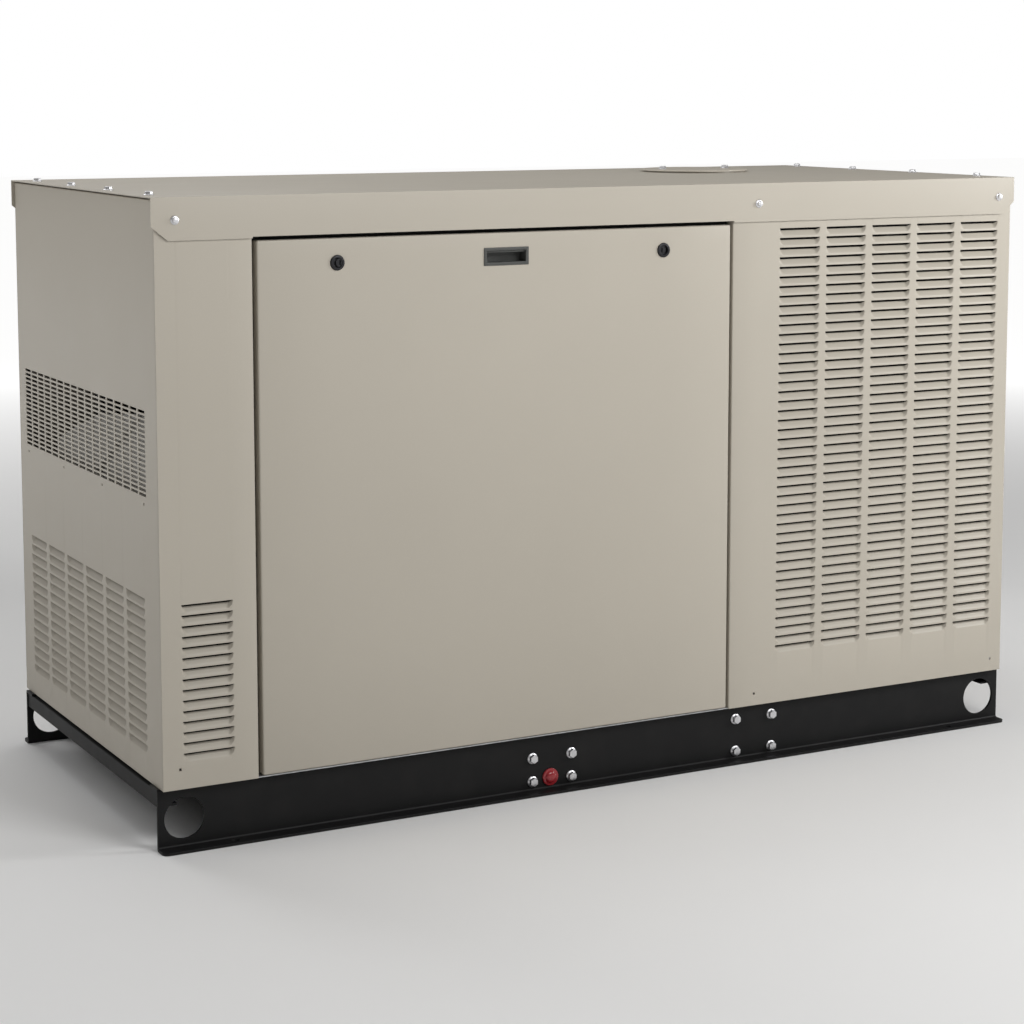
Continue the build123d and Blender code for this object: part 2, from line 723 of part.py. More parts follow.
plenum_y = -190.0
plenum_z = port_z + 5
plenum_r = 30.0
mixer_x = -110.0
with BuildPart() as intake_manifold:
    drum((-50, plenum_y, plenum_z), (1, 0, 0), plenum_r, bores_x[-1] + 85)
    for x in bores_x:
        drum((x, -head_half, port_z), (0, -1, 0), 19, -plenum_y - head_half)
        block((x - 30, -head_half - 10, port_z - 26), (x + 30, -head_half, port_z + 26))
    drum((mixer_x - 30, plenum_y, plenum_z), (1, 0, 0), 38, 90)
    drum((mixer_x, plenum_y, plenum_z), (0, 0, 1), 18, 62)
keep(intake_manifold, "intake_manifold")

log_y = 165.0
log_r = 28.0
pipe_r = 25.0
pipe_wall = 2.0
outlet_x = block_front + 10.0
outlet_run = 44.0  # outlet flange to the pipe's first turn, short of the fan
with BuildPart() as exhaust_manifold:
    drum((bores_x[0] - 35, log_y, port_z), (1, 0, 0), log_r, outlet_x - bores_x[0] + 35)
    for x in bores_x:
        drum((x, head_half, port_z), (0, 1, 0), 20, log_y - head_half)
        block((x - 30, head_half, port_z - 28), (x + 30, head_half + 12, port_z + 28))
    drum((outlet_x - 12, log_y, port_z), (1, 0, 0), 42, 12)
    drum((outlet_x - 14, log_y, port_z), (1, 0, 0), pipe_r - pipe_wall, 20, Mode.SUBTRACT)
keep(exhaust_manifold, "exhaust_manifold")

with BuildPart() as crankshaft:
    drum((block_back - 30, 0, shaft_z), (1, 0, 0), 46, 14)
    start = block_back - 16
    for k, x in enumerate(bores_x):
        half_bay = bore_pitch / 2 - web_wall
        up = 1 if k in (0, 3) else -1
        first, last = x - half_bay + 2, x + half_bay - 2
        drum((start, 0, shaft_z), (1, 0, 0), journal_r, first - start)
        for cheek in (first, last - 14):
            with BuildSketch(Plane.YZ.offset(cheek)) as web:
                with Locations((0, shaft_z)):
                    Circle(journal_r + 10)
                with Locations((0, shaft_z + up * stroke / 2)):
                    Circle(pin_r + 10)
                make_hull()
            extrude(web.sketch, amount=14)
        drum((first + 14, 0, shaft_z + up * stroke / 2), (1, 0, 0), pin_r, last - first - 28)
        start = last
    drum((start, 0, shaft_z), (1, 0, 0), journal_r, block_front - start)
    drum((block_front, 0, shaft_z), (1, 0, 0), nose_r, pulley_x - block_front + 20)
    groove = (belt_width + 8) / 2
    drum((pulley_x - groove, 0, shaft_z), (1, 0, 0), crank_pulley_r, 2 * groove)
    for side in (-1, 1):
        x0, x1 = sorted((pulley_x + side * groove, pulley_x + side * (groove + 3)))
        drum((x0, 0, shaft_z), (1, 0, 0), crank_pulley_r + 7, x1 - x0)
    with Locations(Plane(origin=(pulley_x, 0, shaft_z), z_dir=(1, 0, 0))):
        with PolarLocations(46, 5):
            Cylinder(11, 60, mode=Mode.SUBTRACT)
keep(crankshaft, "crankshaft")

pump_r = 44.0
pump_inlet = (block_front + cover_wall - 2, half_block - 14, fan_z - 8)
with BuildPart() as water_pump:
    block((block_front, 20 - half_block, pan_rail_z + 6), (block_front + cover_wall, half_block - 20, deck_z))
    drum((block_front + cover_wall, 0, fan_z), (1, 0, 0), pump_r, 17)
    drum((pump_inlet[0], 0, pump_inlet[2]), (0, 1, 0), 14, pump_inlet[1])
    drum((block_front - 1, 0, shaft_z), (1, 0, 0), nose_r + run_fit, cover_wall + 2, Mode.SUBTRACT)
    drum((block_front + 4, 0, fan_z), (1, 0, 0), fan_shaft_r + run_fit, 60, Mode.SUBTRACT)
keep(water_pump, "water_pump")

blades = 7
blade_x = pulley_x + 38.0
with BuildPart() as cooling_fan:
    drum((block_front + 6, 0, fan_z), (1, 0, 0), fan_shaft_r, blade_x - block_front + 20)
    drum((pulley_x - groove, 0, fan_z), (1, 0, 0), fan_pulley_r, 2 * groove)
    for side in (-1, 1):
        x0, x1 = sorted((pulley_x + side * groove, pulley_x + side * (groove + 3)))
        drum((x0, 0, fan_z), (1, 0, 0), fan_pulley_r + 6, x1 - x0)
    drum((blade_x - 12, 0, fan_z), (1, 0, 0), 58, 40)
    for k in range(blades):
        turn = 360 * k / blades
        radial = Vector(0, cos(radians(turn)), sin(radians(turn)))
        root = Vector(blade_x + 8, 0, fan_z) + radial * 50
        across = Vector(1, 0, 0) * 0.55 + radial.cross(Vector(1, 0, 0)) * 0.83
        with BuildSketch(Plane(origin=root, x_dir=across, z_dir=radial)) as blade:
            SlotOverall(78, 5)
        extrude(blade.sketch, amount=fan_r - 50)
keep(cooling_fan, "cooling_fan")

charger_r = 60.0
charger_shaft_r = 8.0
charger_x = block_front + cover_wall - 62.0
with BuildPart() as charging_alternator:
    drum((charger_x, charger_y, charger_z), (1, 0, 0), charger_r, 84)
    fillet(edges().filter_by(GeomType.CIRCLE), radius=9)
    tab_y = 20 - half_block
    block(
        (block_front + 2, charger_y + 20, charger_z - 12),
        (block_front + 16, tab_y, charger_z + 12),
    )
    drum((charger_x + 30, charger_y, charger_z), (1, 0, 0), charger_shaft_r + run_fit, 60, Mode.SUBTRACT)
keep(charging_alternator, "charging_alternator")

with BuildPart() as alternator_pulley:
    drum((charger_x + 34, charger_y, charger_z), (1, 0, 0), charger_shaft_r, pulley_x - charger_x - 10)
    drum((pulley_x - groove, charger_y, charger_z), (1, 0, 0), alternator_pulley_r, 2 * groove)
    for side in (-1, 1):
        x0, x1 = sorted((pulley_x + side * groove, pulley_x + side * (groove + 3)))
        drum((x0, charger_y, charger_z), (1, 0, 0), alternator_pulley_r + 7, x1 - x0)
keep(alternator_pulley, "alternator_pulley")

pulleys = (
    (0, shaft_z, crank_pulley_r),
    (0, fan_z, fan_pulley_r),
    (charger_y, charger_z, alternator_pulley_r),
)
with BuildPart() as drive_belt:
    for radius, mode in ((belt_gap + belt_thick, Mode.ADD), (belt_gap, Mode.SUBTRACT)):
        with BuildSketch(Plane.YZ.offset(pulley_x - belt_width / 2)) as loop:
            for y, z, pulley_r in pulleys:
                with Locations((y, z)):
                    Circle(pulley_r + radius)
            make_hull()
        extrude(loop.sketch, amount=belt_width, mode=mode)
keep(drive_belt, "drive_belt")

with BuildPart() as oil_filter:
    drum((filter_x, -filter_seat, shaft_z), (0, -1, 0), filter_r, 92)
    fillet(faces().sort_by(Axis.Y)[0].edges(), radius=8)
    with BuildSketch(Plane(origin=(filter_x, -filter_seat - 76, shaft_z), z_dir=(0, -1, 0))) as grip:
        RegularPolygon(filter_r + 1, 14)
    extrude(grip.sketch, amount=10)
keep(oil_filter, "oil_filter")

starter_y, starter_z = 188.0, 348.0
with BuildPart() as starter_motor:
    drum((block_back, starter_y, starter_z), (1, 0, 0), 36, 150)
    fillet(faces().sort_by(Axis.X)[-1].edges(), radius=6)
    drum((block_back + 12, starter_y + 14, starter_z + 56), (1, 0, 0), 20, 84)
    block((block_back + 30, starter_y, starter_z), (block_back + 80, starter_y + 26, starter_z + 56))
    drum((block_back + 96, starter_y + 14, starter_z + 56), (1, 0, 0), 5, 14)
keep(starter_motor, "starter_motor")

with BuildPart() as dipstick:
    drum((dipstick_x, dipstick_y, shaft_z - 36), (0, 0, 1), dipstick_r, 262)
    top = shaft_z + 226
    with BuildSketch(Plane(origin=(dipstick_x, dipstick_y, top + 12), z_dir=(0, 1, 0))) as eye:
        Circle(14)
        Circle(9, mode=Mode.SUBTRACT)
    extrude(eye.sketch, amount=2.5, both=True)
keep(dipstick, "dipstick")

# ---- alternator and flywheel ---------------------------------------------------------------
housing_back = block_back - 110.0
housing_r = 205.0
stator_length = 430.0
stator_left = housing_back - stator_length
end_bell = 24.0

with BuildPart() as flywheel_housing:
    drum((housing_back, 0, shaft_z), (1, 0, 0), housing_r, block_back - housing_back)
    drum((housing_back - 1, 0, shaft_z), (1, 0, 0), housing_r - 14, 97, Mode.SUBTRACT)
    drum((housing_back, 0, shaft_z), (1, 0, 0), 56, 130, Mode.SUBTRACT)
    for side in (-1, 1):
        y0, y1 = sorted((side * 150, side * (mount_y + 24)))
        block((gen_mount_x - 22, y0, 262), (gen_mount_x + 22, y1, 290))
        y0, y1 = sorted((side * (mount_y - 22), side * (mount_y + 24)))
        block((gen_mount_x - 22, y0, mount_pad_z), (gen_mount_x + 22, y1, 262))
    drum((housing_back + 6, 0, shaft_z), (1, 0, 0), housing_r - 14, 90, Mode.SUBTRACT)
keep(flywheel_housing, "flywheel_housing")

with BuildPart() as generator_stator:
    drum((stator_left, 0, shaft_z), (1, 0, 0), stator_r, stator_length)
    drum((stator_left + end_bell, 0, shaft_z), (1, 0, 0), rotor_r + air_gap, stator_length, Mode.SUBTRACT)
    drum((stator_left - 1, 0, shaft_z), (1, 0, 0), rotor_shaft_r + run_fit, 60, Mode.SUBTRACT)
    with BuildSketch(Plane.YZ.offset(stator_left)) as vents:
        with Locations((0, shaft_z)):
            with PolarLocations(95, 12):
                SlotOverall(70, 22)
    extrude(vents.sketch, amount=end_bell, mode=Mode.SUBTRACT)
    for k in range(9):
        x = stator_left + 45 + k * 42
        with BuildSketch(Plane.YZ.offset(x)) as fin:
            with Locations((0, shaft_z)):
                Circle(stator_r + 5)
                Circle(stator_r - 1, mode=Mode.SUBTRACT)
        extrude(fin.sketch, amount=6)
keep(generator_stator, "generator_stator")

flywheel_x = block_back - 52.0
with BuildPart() as rotor:
    drum((stator_left + 2, 0, shaft_z), (1, 0, 0), rotor_shaft_r, flywheel_x - stator_left - 2)
    drum((stator_left + 70, 0, shaft_z), (1, 0, 0), rotor_r, stator_length - 110)
    for k in range(4):
        turn = radians(45 + 90 * k)
        drum(
            (stator_left + 69, 95 * cos(turn), shaft_z + 95 * sin(turn)),
            (1, 0, 0),
            16,
            stator_length,
            Mode.SUBTRACT,
        )
keep(rotor, "rotor")

with BuildPart() as flywheel:
    drum((flywheel_x, 0, shaft_z), (1, 0, 0), 165, 22)
    with BuildSketch(Plane.YZ.offset(flywheel_x + 2)) as ring_gear:
        with Locations((0, shaft_z)):
            Circle(174)
            with PolarLocations(175, 72):
                Rectangle(6, 5, mode=Mode.SUBTRACT)
    extrude(ring_gear.sketch, amount=12)
keep(flywheel, "flywheel")

isolator_r = 32.0
with BuildPart() as vibration_mounts:
    for x in (gen_mount_x, engine_mount_x):
        for side in (-1, 1):
            at = (x, side * mount_y)
            drum((*at, member_top), (0, 0, 1), isolator_r, mount_pad_z - member_top)
            waist = (mount_pad_z + member_top) / 2
            with BuildSketch(Plane.XY.offset(waist - 9)) as groove_ring:
                with Locations(at):
                    Circle(isolator_r + 1)
                    Circle(isolator_r - 5, mode=Mode.SUBTRACT)
            extrude(groove_ring.sketch, amount=18, mode=Mode.SUBTRACT)
keep(vibration_mounts, "vibration_mounts")

# ---- cooling -------------------------------------------------------------------------------
core_x = pulley_x + 120.0
core_depth = 50.0
core_half = 270.0
core_bottom, core_top = 330.0, 890.0
tank_height = 46.0
neck_x, neck_y = core_x + core_depth / 2, cover_y
neck_r = 19.0
stand_half = rail_y - rail_ledge + 12.0
with BuildPart() as radiator:
    tanks = ((core_bottom - tank_height, core_bottom), (core_top, core_top + tank_height))
    block((core_x, -core_half, core_bottom), (core_x + core_depth, core_half, core_top))
    for low, high in tanks:
        block((core_x - 6, -core_half, low), (core_x + core_depth + 6, core_half, high))
    for side in (-1, 1):
        y0, y1 = sorted((side * core_half, side * (core_half + 5)))
        block((core_x - 6, y0, sill_top + 10), (core_x + core_depth + 6, y1, core_top + tank_height))
    block((core_x - 20, -stand_half, sill_top), (core_x + core_depth + 20, stand_half, sill_top + 10))
    neck_foot = core_top + tank_height
    drum((neck_x, neck_y, neck_foot - 1), (0, 0, 1), neck_r, 21)
    drum((neck_x, neck_y, neck_foot + 2), (0, 0, 1), neck_r - 4, 30, Mode.SUBTRACT)
    for y, z in ((-60, core_top + 23), (150, core_bottom - 23)):
        drum((core_x - 6, y, z), (-1, 0, 0), 17, 20)
keep(radiator, "radiator")

with BuildPart() as radiator_cap:
    seat = neck_foot + 20
    drum((neck_x, neck_y, seat + 0.3), (0, 0, 1), neck_r + 10, 12)
    fillet(faces().sort_by(Axis.Z)[-1].edges(), radius=3)
    drum((neck_x, neck_y, seat - 12), (0, 0, 1), neck_r - 4.4, 14)
    for k in (-1, 1):
        x0, x1 = sorted((neck_x + k * (neck_r + 6), neck_x + k * (neck_r + 17)))
        block((x0, neck_y - 7, seat + 2), (x1, neck_y + 7, seat + 10))
keep(radiator_cap, "radiator_cap")

shroud_gap = 10.0
shroud_wall = 3.0
with BuildPart() as fan_shroud:
    plate_x = core_x - 10
    with BuildSketch(Plane.YZ.offset(plate_x)) as plate:
        with Locations((0, (core_bottom + core_top) / 2)):
            Rectangle(2 * core_half - 2, core_top - core_bottom - 2)
        with Locations((0, fan_z)):
            Circle(fan_r + shroud_gap, mode=Mode.SUBTRACT)
    extrude(plate.sketch, amount=10)
    with BuildSketch(Plane.YZ.offset(plate_x)) as collar:
        with Locations((0, fan_z)):
            Circle(fan_r + shroud_gap + shroud_wall)
            Circle(fan_r + shroud_gap, mode=Mode.SUBTRACT)
    extrude(collar.sketch, amount=-56)
keep(fan_shroud, "fan_shroud")

hose_r = 17.0
with BuildPart() as hoses:
    pipe(
        [
            (block_front + 14, -60, head_top - 28),
            (block_front + 58, -60, head_top - 28),
            (block_front + 58, -60, core_top + 23),
            (core_x - 26, -60, core_top + 23),
        ],
        [26, 26],
        hose_r,
    )
    pipe(
        [
            pump_inlet,
            (pump_inlet[0], 168, pump_inlet[2]),
            (pump_inlet[0], 168, core_bottom - 23),
            (pump_inlet[0] + 40, 150, core_bottom - 23),
            (core_x - 26, 150, core_bottom - 23),
        ],
        [40, 20, 20],
        hose_r,
    )
    pipe(
        [
            (drain_x, 34 - rail_y, drain_z),
            (drain_x, drain_turn_y, drain_z),
            (40, drain_turn_y, drain_z),
            (40, -80, 130),
            (40, -80, 215),
        ],
        [36, 36, 36],
        drain_hose_r,
    )
    pipe(
        [
            (fuel_x + 36, 322, 676),
            (mixer_x - 40, 322, 676),
            (mixer_x, 322, 860),
            (mixer_x, plenum_y, 860),
            (mixer_x, plenum_y, plenum_z + 62),
        ],
        [60, 70, 70],
        11,
    )
keep(hoses, "hoses")

# ---- fuel and air --------------------------------------------------------------------------
regulator_z = 676.0
fuel_turn_y = 322.0
with BuildPart() as gas_regulator:
    pipe(
        [
            (fuel_x, rail_y + rail_foot - 2, fuel_z),
            (fuel_x, fuel_turn_y, fuel_z),
            (fuel_x, fuel_turn_y, 560),
        ],
        [34],
        fuel_pipe_r - 3,
    )
    drum((fuel_x, rail_in - 1, fuel_z), (0, 1, 0), fuel_pipe_r, rail_foot + rail_thick - 1)
    drum((fuel_x, rail_y + rail_foot, fuel_z), (0, -1, 0), fuel_bore_r, 26, Mode.SUBTRACT)
    block((fuel_x - 30, fuel_turn_y - 26, 560), (fuel_x + 30, fuel_turn_y + 26, 618))
    drum((fuel_x - 30, fuel_turn_y, 590), (-1, 0, 0), 20, 34)
    drum((fuel_x, fuel_turn_y + 22, regulator_z), (0, -1, 0), 62, 40)
    drum((fuel_x, fuel_turn_y - 18, regulator_z), (0, -1, 0), 24, 26)
    drum((fuel_x, fuel_turn_y, regulator_z), (1, 0, 0), 14, 72)
    drum((fuel_x + 72, fuel_turn_y, regulator_z), (-1, 0, 0), 11.2, 36, Mode.SUBTRACT)
    block((fuel_x - 22, fuel_turn_y - 20, 616), (fuel_x + 22, fuel_turn_y + 20, 640))
keep(gas_regulator, "gas_regulator")

with BuildPart() as air_cleaner:
    block((-480, -300, 634), (-212, -96, 810))
    fillet(edges().filter_by(Axis.Z), radius=24)
    fillet(faces().sort_by(Axis.Z)[-1].edges(), radius=10)
    drum((-230, plenum_y, plenum_z), (1, 0, 0), 33, mixer_x - 30 + 230)
    block((-470, -250, 622), (-222, -150, 634))
keep(air_cleaner, "air_cleaner")

# ---- exhaust -------------------------------------------------------------------------------
muffler_x = end_x - 154.0
muffler_z = 690.0
muffler_r = 88.0
muffler_ends = (-270.0, 240.0)
pipe_turn_y = 322.0
with BuildPart() as muffler:
    y0, y1 = muffler_ends
    drum((muffler_x, y0, muffler_z), (0, 1, 0), muffler_r, y1 - y0)
    fillet(edges().filter_by(GeomType.CIRCLE), radius=12)
    for y in (y0, y1 - 22):
        block((muffler_x - 60, y + 6, sill_top + 10), (muffler_x - 52, y + 16, muffler_z - 50))
        block((muffler_x + 52, y + 6, sill_top + 10), (muffler_x + 60, y + 16, muffler_z - 50))
    block((muffler_x - 70, -stand_half, sill_top), (muffler_x + 70, stand_half, sill_top + 10))
keep(muffler, "muffler")

with BuildPart() as exhaust_pipes:
    pipe(
        [
            (outlet_x, log_y, port_z),
            (outlet_x + outlet_run, log_y, port_z),
            (outlet_x + outlet_run, pipe_turn_y, port_z),
            (muffler_x, pipe_turn_y, muffler_z),
            (muffler_x, muffler_ends[1], muffler_z),
        ],
        [38, 38, 38],
        pipe_r,
    )
    pipe(
        [
            (muffler_x, muffler_ends[0], muffler_z),
            (muffler_x, -pipe_turn_y - 10, muffler_z),
            (end_in - 30, -pipe_turn_y - 10, muffler_z),
        ],
        [36],
        pipe_r,
    )
    drum(
        (end_in - 29, -pipe_turn_y - 10, muffler_z),
        (-1, 0, 0),
        pipe_r - pipe_wall,
        40,
        Mode.SUBTRACT,
    )
keep(exhaust_pipes, "exhaust_pipes")

# ---- battery -------------------------------------------------------------------------------
battery_x = -end_x + 60.0
battery_size = (230.0, 172.0, 200.0)
battery_y = -320.0
tray_z = 140.0
tray_thick = 4.0
with BuildPart() as battery_tray:
    x0, x1 = battery_x - 12, battery_x + battery_size[0] + 12
    block((x0, -stand_half, tray_z), (x1, stand_half, tray_z + tray_thick))
    for side in (-1, 1):
        y0, y1 = sorted((side * stand_half, side * (stand_half - 4)))
        block((x0, y0, sill_top), (x1, y1, tray_z))
    for side in (-1, 1):
        y0, y1 = sorted((side * (stand_half + 1), side * (lip_y - post_size - 2 * frame_gap)))
        notch = (post_x[0] - 1, post_x[0] + post_size + 1)
        block((notch[0], y0, sill_top - 1), (notch[1], y1, tray_z + 10), Mode.SUBTRACT)
    for x in (x0, x1 - 3):
        block((x, battery_y - 10, tray_z), (x + 3, battery_y + battery_size[1] + 10, tray_z + 24))
    strap_z = tray_z + tray_thick + battery_size[2]
    mid = battery_x + battery_size[0] / 2
    block((mid - 13, battery_y - 12, strap_z), (mid + 13, battery_y + battery_size[1] + 12, strap_z + 4))
    for y in (battery_y - 8, battery_y + battery_size[1] + 8):
        drum((mid, y, tray_z), (0, 0, 1), 3.5, battery_size[2] + 18)
keep(battery_tray, "battery_tray")

terminal_y = battery_y + battery_size[1] - 26
battery_top = tray_z + tray_thick + battery_size[2]
terminal_x = (battery_x + 30, battery_x + battery_size[0] - 30)
with BuildPart() as battery:
    low = (battery_x, battery_y, tray_z + tray_thick)
    high = (battery_x + battery_size[0], battery_y + battery_size[1], battery_top)
    block(low, high)
    fillet(edges().filter_by(Axis.Z), radius=6)
    for x in terminal_x:
        drum((x, terminal_y, battery_top), (0, 0, 1), 9, 16)
keep(battery, "battery")

lead_r = 5.5
lead_z = battery_top + 8
starter_stud = (block_back + 110, starter_y + 14, starter_z + 56)
with BuildPart() as battery_leads:
    pipe(
        [
            (terminal_x[0], terminal_y + 9.5, lead_z),
            (terminal_x[0], terminal_y + 80, lead_z),
            (terminal_x[0], 255, 300),
            (stator_left, 285, 240),
            (block_back - 60, 285, 240),
            (starter_stud[0] - 10, 285, 300),
            (starter_stud[0] - 6, 285, starter_stud[2]),
            (starter_stud[0] - 6, starter_stud[1] + 5, starter_stud[2]),
        ],
        [45, 70, 70, 50, 30, 30],
        lead_r,
    )
    pipe(
        [
            (terminal_x[1], terminal_y + 11, lead_z),
            (terminal_x[1], 170, lead_z - 30),
            (stator_left, 262, 190),
            (block_back - 40, 262, 190),
            (block_back + 60, 200, 250),
            (block_back + 60, half_block + 8, pan_rail_z + 8),
        ],
        [70, 70, 70, 40],
        lead_r,
    )
keep(battery_leads, "battery_leads")

# ---- controls ------------------------------------------------------------------------------
box_low = (-715.0, -352.0, 835.0)
box_high = (-430.0, -232.0, 1062.0)
box_wall = 2.0
knob_x, knob_z = -500.0, 905.0
knob_r = 17.0
button_x, button_z = -455.0, 905.0
button_r = 8.0
breaker_x, breaker_z = -635.0, 935.0
breaker_size = (76.0, 120.0)
toggle_slot = (18.0, 46.0)
face_y = box_low[1]
with BuildPart() as control_box:
    block(box_low, box_high)
    block(
        (box_low[0] + box_wall, face_y + box_wall, box_low[2] + box_wall),
        (box_high[0] - box_wall, box_high[1] - box_wall, box_high[2] - box_wall),
        Mode.SUBTRACT,
    )
    block(
        (breaker_x - breaker_size[0] / 2, face_y - 5, breaker_z - breaker_size[1] / 2),
        (breaker_x + breaker_size[0] / 2, face_y + 70, breaker_z + breaker_size[1] / 2),
    )
    block(
        (breaker_x - toggle_slot[0] / 2, face_y - 6, breaker_z - toggle_slot[1] / 2),
        (breaker_x + toggle_slot[0] / 2, face_y + 26, breaker_z + toggle_slot[1] / 2),
        Mode.SUBTRACT,
    )
    block((-560, face_y - 6, 960), (-440, face_y, 1030))
    block((-552, face_y - 7, 968), (-448, face_y - 4, 1022), Mode.SUBTRACT)
    for x, z, radius in ((knob_x, knob_z, 6), (button_x, button_z, button_r)):
        drum((x, face_y - 3, z), (0, 1, 0), radius + 5, 9)
        drum((x, face_y - 4, z), (0, 1, 0), radius + run_fit, 16, Mode.SUBTRACT)
    block((post_x[0] + post_size, face_y + 4, 870), (box_low[0], face_y + 8, 1030))
    block((post_x[0] + post_size - 4, face_y - 2, 870), (post_x[0] + post_size, face_y + 8, 1030))
    block((post_x[0] + post_size, face_y - 2, 870), (post_x[0] + post_size + 3, face_y + 8, 1030))
keep(control_box, "control_box")

pivot_y = face_y + 12
with BuildPart() as breaker_toggle:
    drum((breaker_x - 8.5, pivot_y, breaker_z), (1, 0, 0), 7, 17)
    lean = Vector(0, -cos(radians(20)), sin(radians(20)))
    root = Vector(breaker_x, pivot_y, breaker_z)
    with BuildSketch(Plane(origin=root, x_dir=(1, 0, 0), z_dir=lean)) as lever:
        RectangleRounded(14, 8, 3)
    extrude(lever.sketch, amount=36)
keep(breaker_toggle, "breaker_toggle")

with BuildPart() as mode_knob:
    drum((knob_x, face_y - 3.5, knob_z), (0, -1, 0), knob_r, 14)
    fillet(faces().sort_by(Axis.Y)[0].edges(), radius=2)
    drum((knob_x, face_y - 5, knob_z), (0, 1, 0), 6, 14)
    block((knob_x - 2.5, face_y - 22, knob_z), (knob_x + 2.5, face_y - 12, knob_z + knob_r - 1))
keep(mode_knob, "mode_knob")

with BuildPart() as reset_button:
    drum((button_x, face_y + 10, button_z), (0, -1, 0), button_r, 18)
    fillet(faces().sort_by(Axis.Y)[0].edges(), radius=1.5)
keep(reset_button, "reset_button")
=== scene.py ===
import math

import bmesh
import bpy
from mathutils import Matrix, Vector


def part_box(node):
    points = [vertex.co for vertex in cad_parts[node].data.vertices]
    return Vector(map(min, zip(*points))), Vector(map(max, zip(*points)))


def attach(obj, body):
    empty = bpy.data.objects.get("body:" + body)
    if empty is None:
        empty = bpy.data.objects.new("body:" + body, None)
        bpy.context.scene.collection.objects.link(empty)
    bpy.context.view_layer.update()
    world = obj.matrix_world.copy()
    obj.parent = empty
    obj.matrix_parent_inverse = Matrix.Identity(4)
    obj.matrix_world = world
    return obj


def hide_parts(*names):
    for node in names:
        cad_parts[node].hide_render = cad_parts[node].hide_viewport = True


bl_info = {
    "name": "Standby generator looks",
    "version": (1, 0, 0),
    "blender": (4, 5, 0),
    "location": "View3D > Sidebar > Generator",
    "description": "Dresses the packed frame of a home standby generator",
    "category": "Object",
}

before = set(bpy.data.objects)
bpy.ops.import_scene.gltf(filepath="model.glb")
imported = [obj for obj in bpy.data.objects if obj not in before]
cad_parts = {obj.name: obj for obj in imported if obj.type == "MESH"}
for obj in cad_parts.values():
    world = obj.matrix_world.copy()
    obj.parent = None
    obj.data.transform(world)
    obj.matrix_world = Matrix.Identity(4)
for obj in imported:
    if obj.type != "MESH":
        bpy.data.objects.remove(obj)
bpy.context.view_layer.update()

MM = 0.001
NEAR = 1e-6
DOOR_RETURN, TOP_FLANGE = 0.022, 0.04  # side panels' fold at the door, end panels' under the roof
SIDES = (("front", -1), ("rear", 1))
ENDS = (("left", -1), ("right", 1))


# ---- properties ---------------------------------------------------------------------------
def size(name, description, default):
    """A length in metres that a user may change."""
    return bpy.props.FloatProperty(
        name=name, description=description, default=default, unit="LENGTH", precision=4
    )


def tint(name, description, default):
    """A linear colour that a user may change."""
    return bpy.props.FloatVectorProperty(
        name=name, description=description, default=default, subtype="COLOR", size=3, min=0, max=1
    )


class EnclosureSizes(bpy.types.PropertyGroup):
    """Sizes of the sheet-metal shapes that the frame leaves plain."""

    sheet: size("Sheet", "Thickness of the enclosure's sheet", 2.0 * MM)
    fold: size("Fold radius", "Outer radius of a folded edge", 3.0 * MM)
    pitch: size("Louvre pitch", "Height of one louvre row", 19.05 * MM)
    slit: size("Louvre slit", "Open height under a louvre's lip", 4.8 * MM)
    lip: size("Louvre lip", "Flat band between two louvres", 3.2 * MM)
    sink: size("Louvre depth", "How far a blade's top stands in", 8.5 * MM)
    cheek: size("Louvre cheek", "Width of a louvre's sloping end wall", 6.5 * MM)
    taper: size("Louvre taper", "How far a louvre's lower corners draw in", 10.0 * MM)
    roll: size("Lip roll", "How far a lip's edge stands out", 0.3 * MM)
    seal: size("Seal depth", "Thickness of the foam seal behind a door", 5.0 * MM)


class FinishColours(bpy.types.PropertyGroup):
    """Colours of the paints and plastics."""

    coat: tint("Powder coat", "Enclosure's warm beige", (0.475, 0.437, 0.370))
    skid: tint("Skid paint", "Satin black of the rails", (0.0085, 0.0085, 0.0088))
    cap: tint("Drain cap", "Red plastic of the oil drain's cap", (0.30, 0.012, 0.018))
    lining: tint("Lining", "Charcoal acoustic foam", (0.018, 0.018, 0.019))


class StudioSettings(bpy.types.PropertyGroup):
    """Camera and lights."""

    azimuth: bpy.props.FloatProperty(
        name="Azimuth", description="Camera's turn round the object",
        default=math.radians(-28.32), subtype="ANGLE", unit="ROTATION",
    )
    elevation: bpy.props.FloatProperty(
        name="Elevation", description="Camera's height above the horizon",
        default=math.radians(6.59), subtype="ANGLE", unit="ROTATION",
    )
    distance: size("Distance", "Camera to its target", 4.9129)
    target_x: size("Target across", "Where the camera looks, along the unit", 0.0173)
    target_z: size("Target height", "Where the camera looks, above ground", 0.7868)
    focal: bpy.props.FloatProperty(
        name="Focal length", description="Lens in millimetres", default=83.557
    )
    shift: bpy.props.FloatVectorProperty(
        name="Shift", description="Lens shift across and up", default=(-0.0157, -0.15), size=2
    )
    key: bpy.props.FloatProperty(name="Key light", description="Watts", default=42.0)
    front: bpy.props.FloatProperty(name="Front light", description="Watts", default=49.0)
    fill: bpy.props.FloatProperty(name="Fill light", description="Watts", default=11.0)
    sky: bpy.props.FloatProperty(name="Sky", description="Soft light from all round", default=0.2)
    backdrop: bpy.props.FloatProperty(name="Backdrop", description="Brightness behind", default=1.0)


def sizes():
    return bpy.context.scene.generator_sizes


def colours():
    return bpy.context.scene.generator_colours


def studio():
    return bpy.context.scene.generator_studio


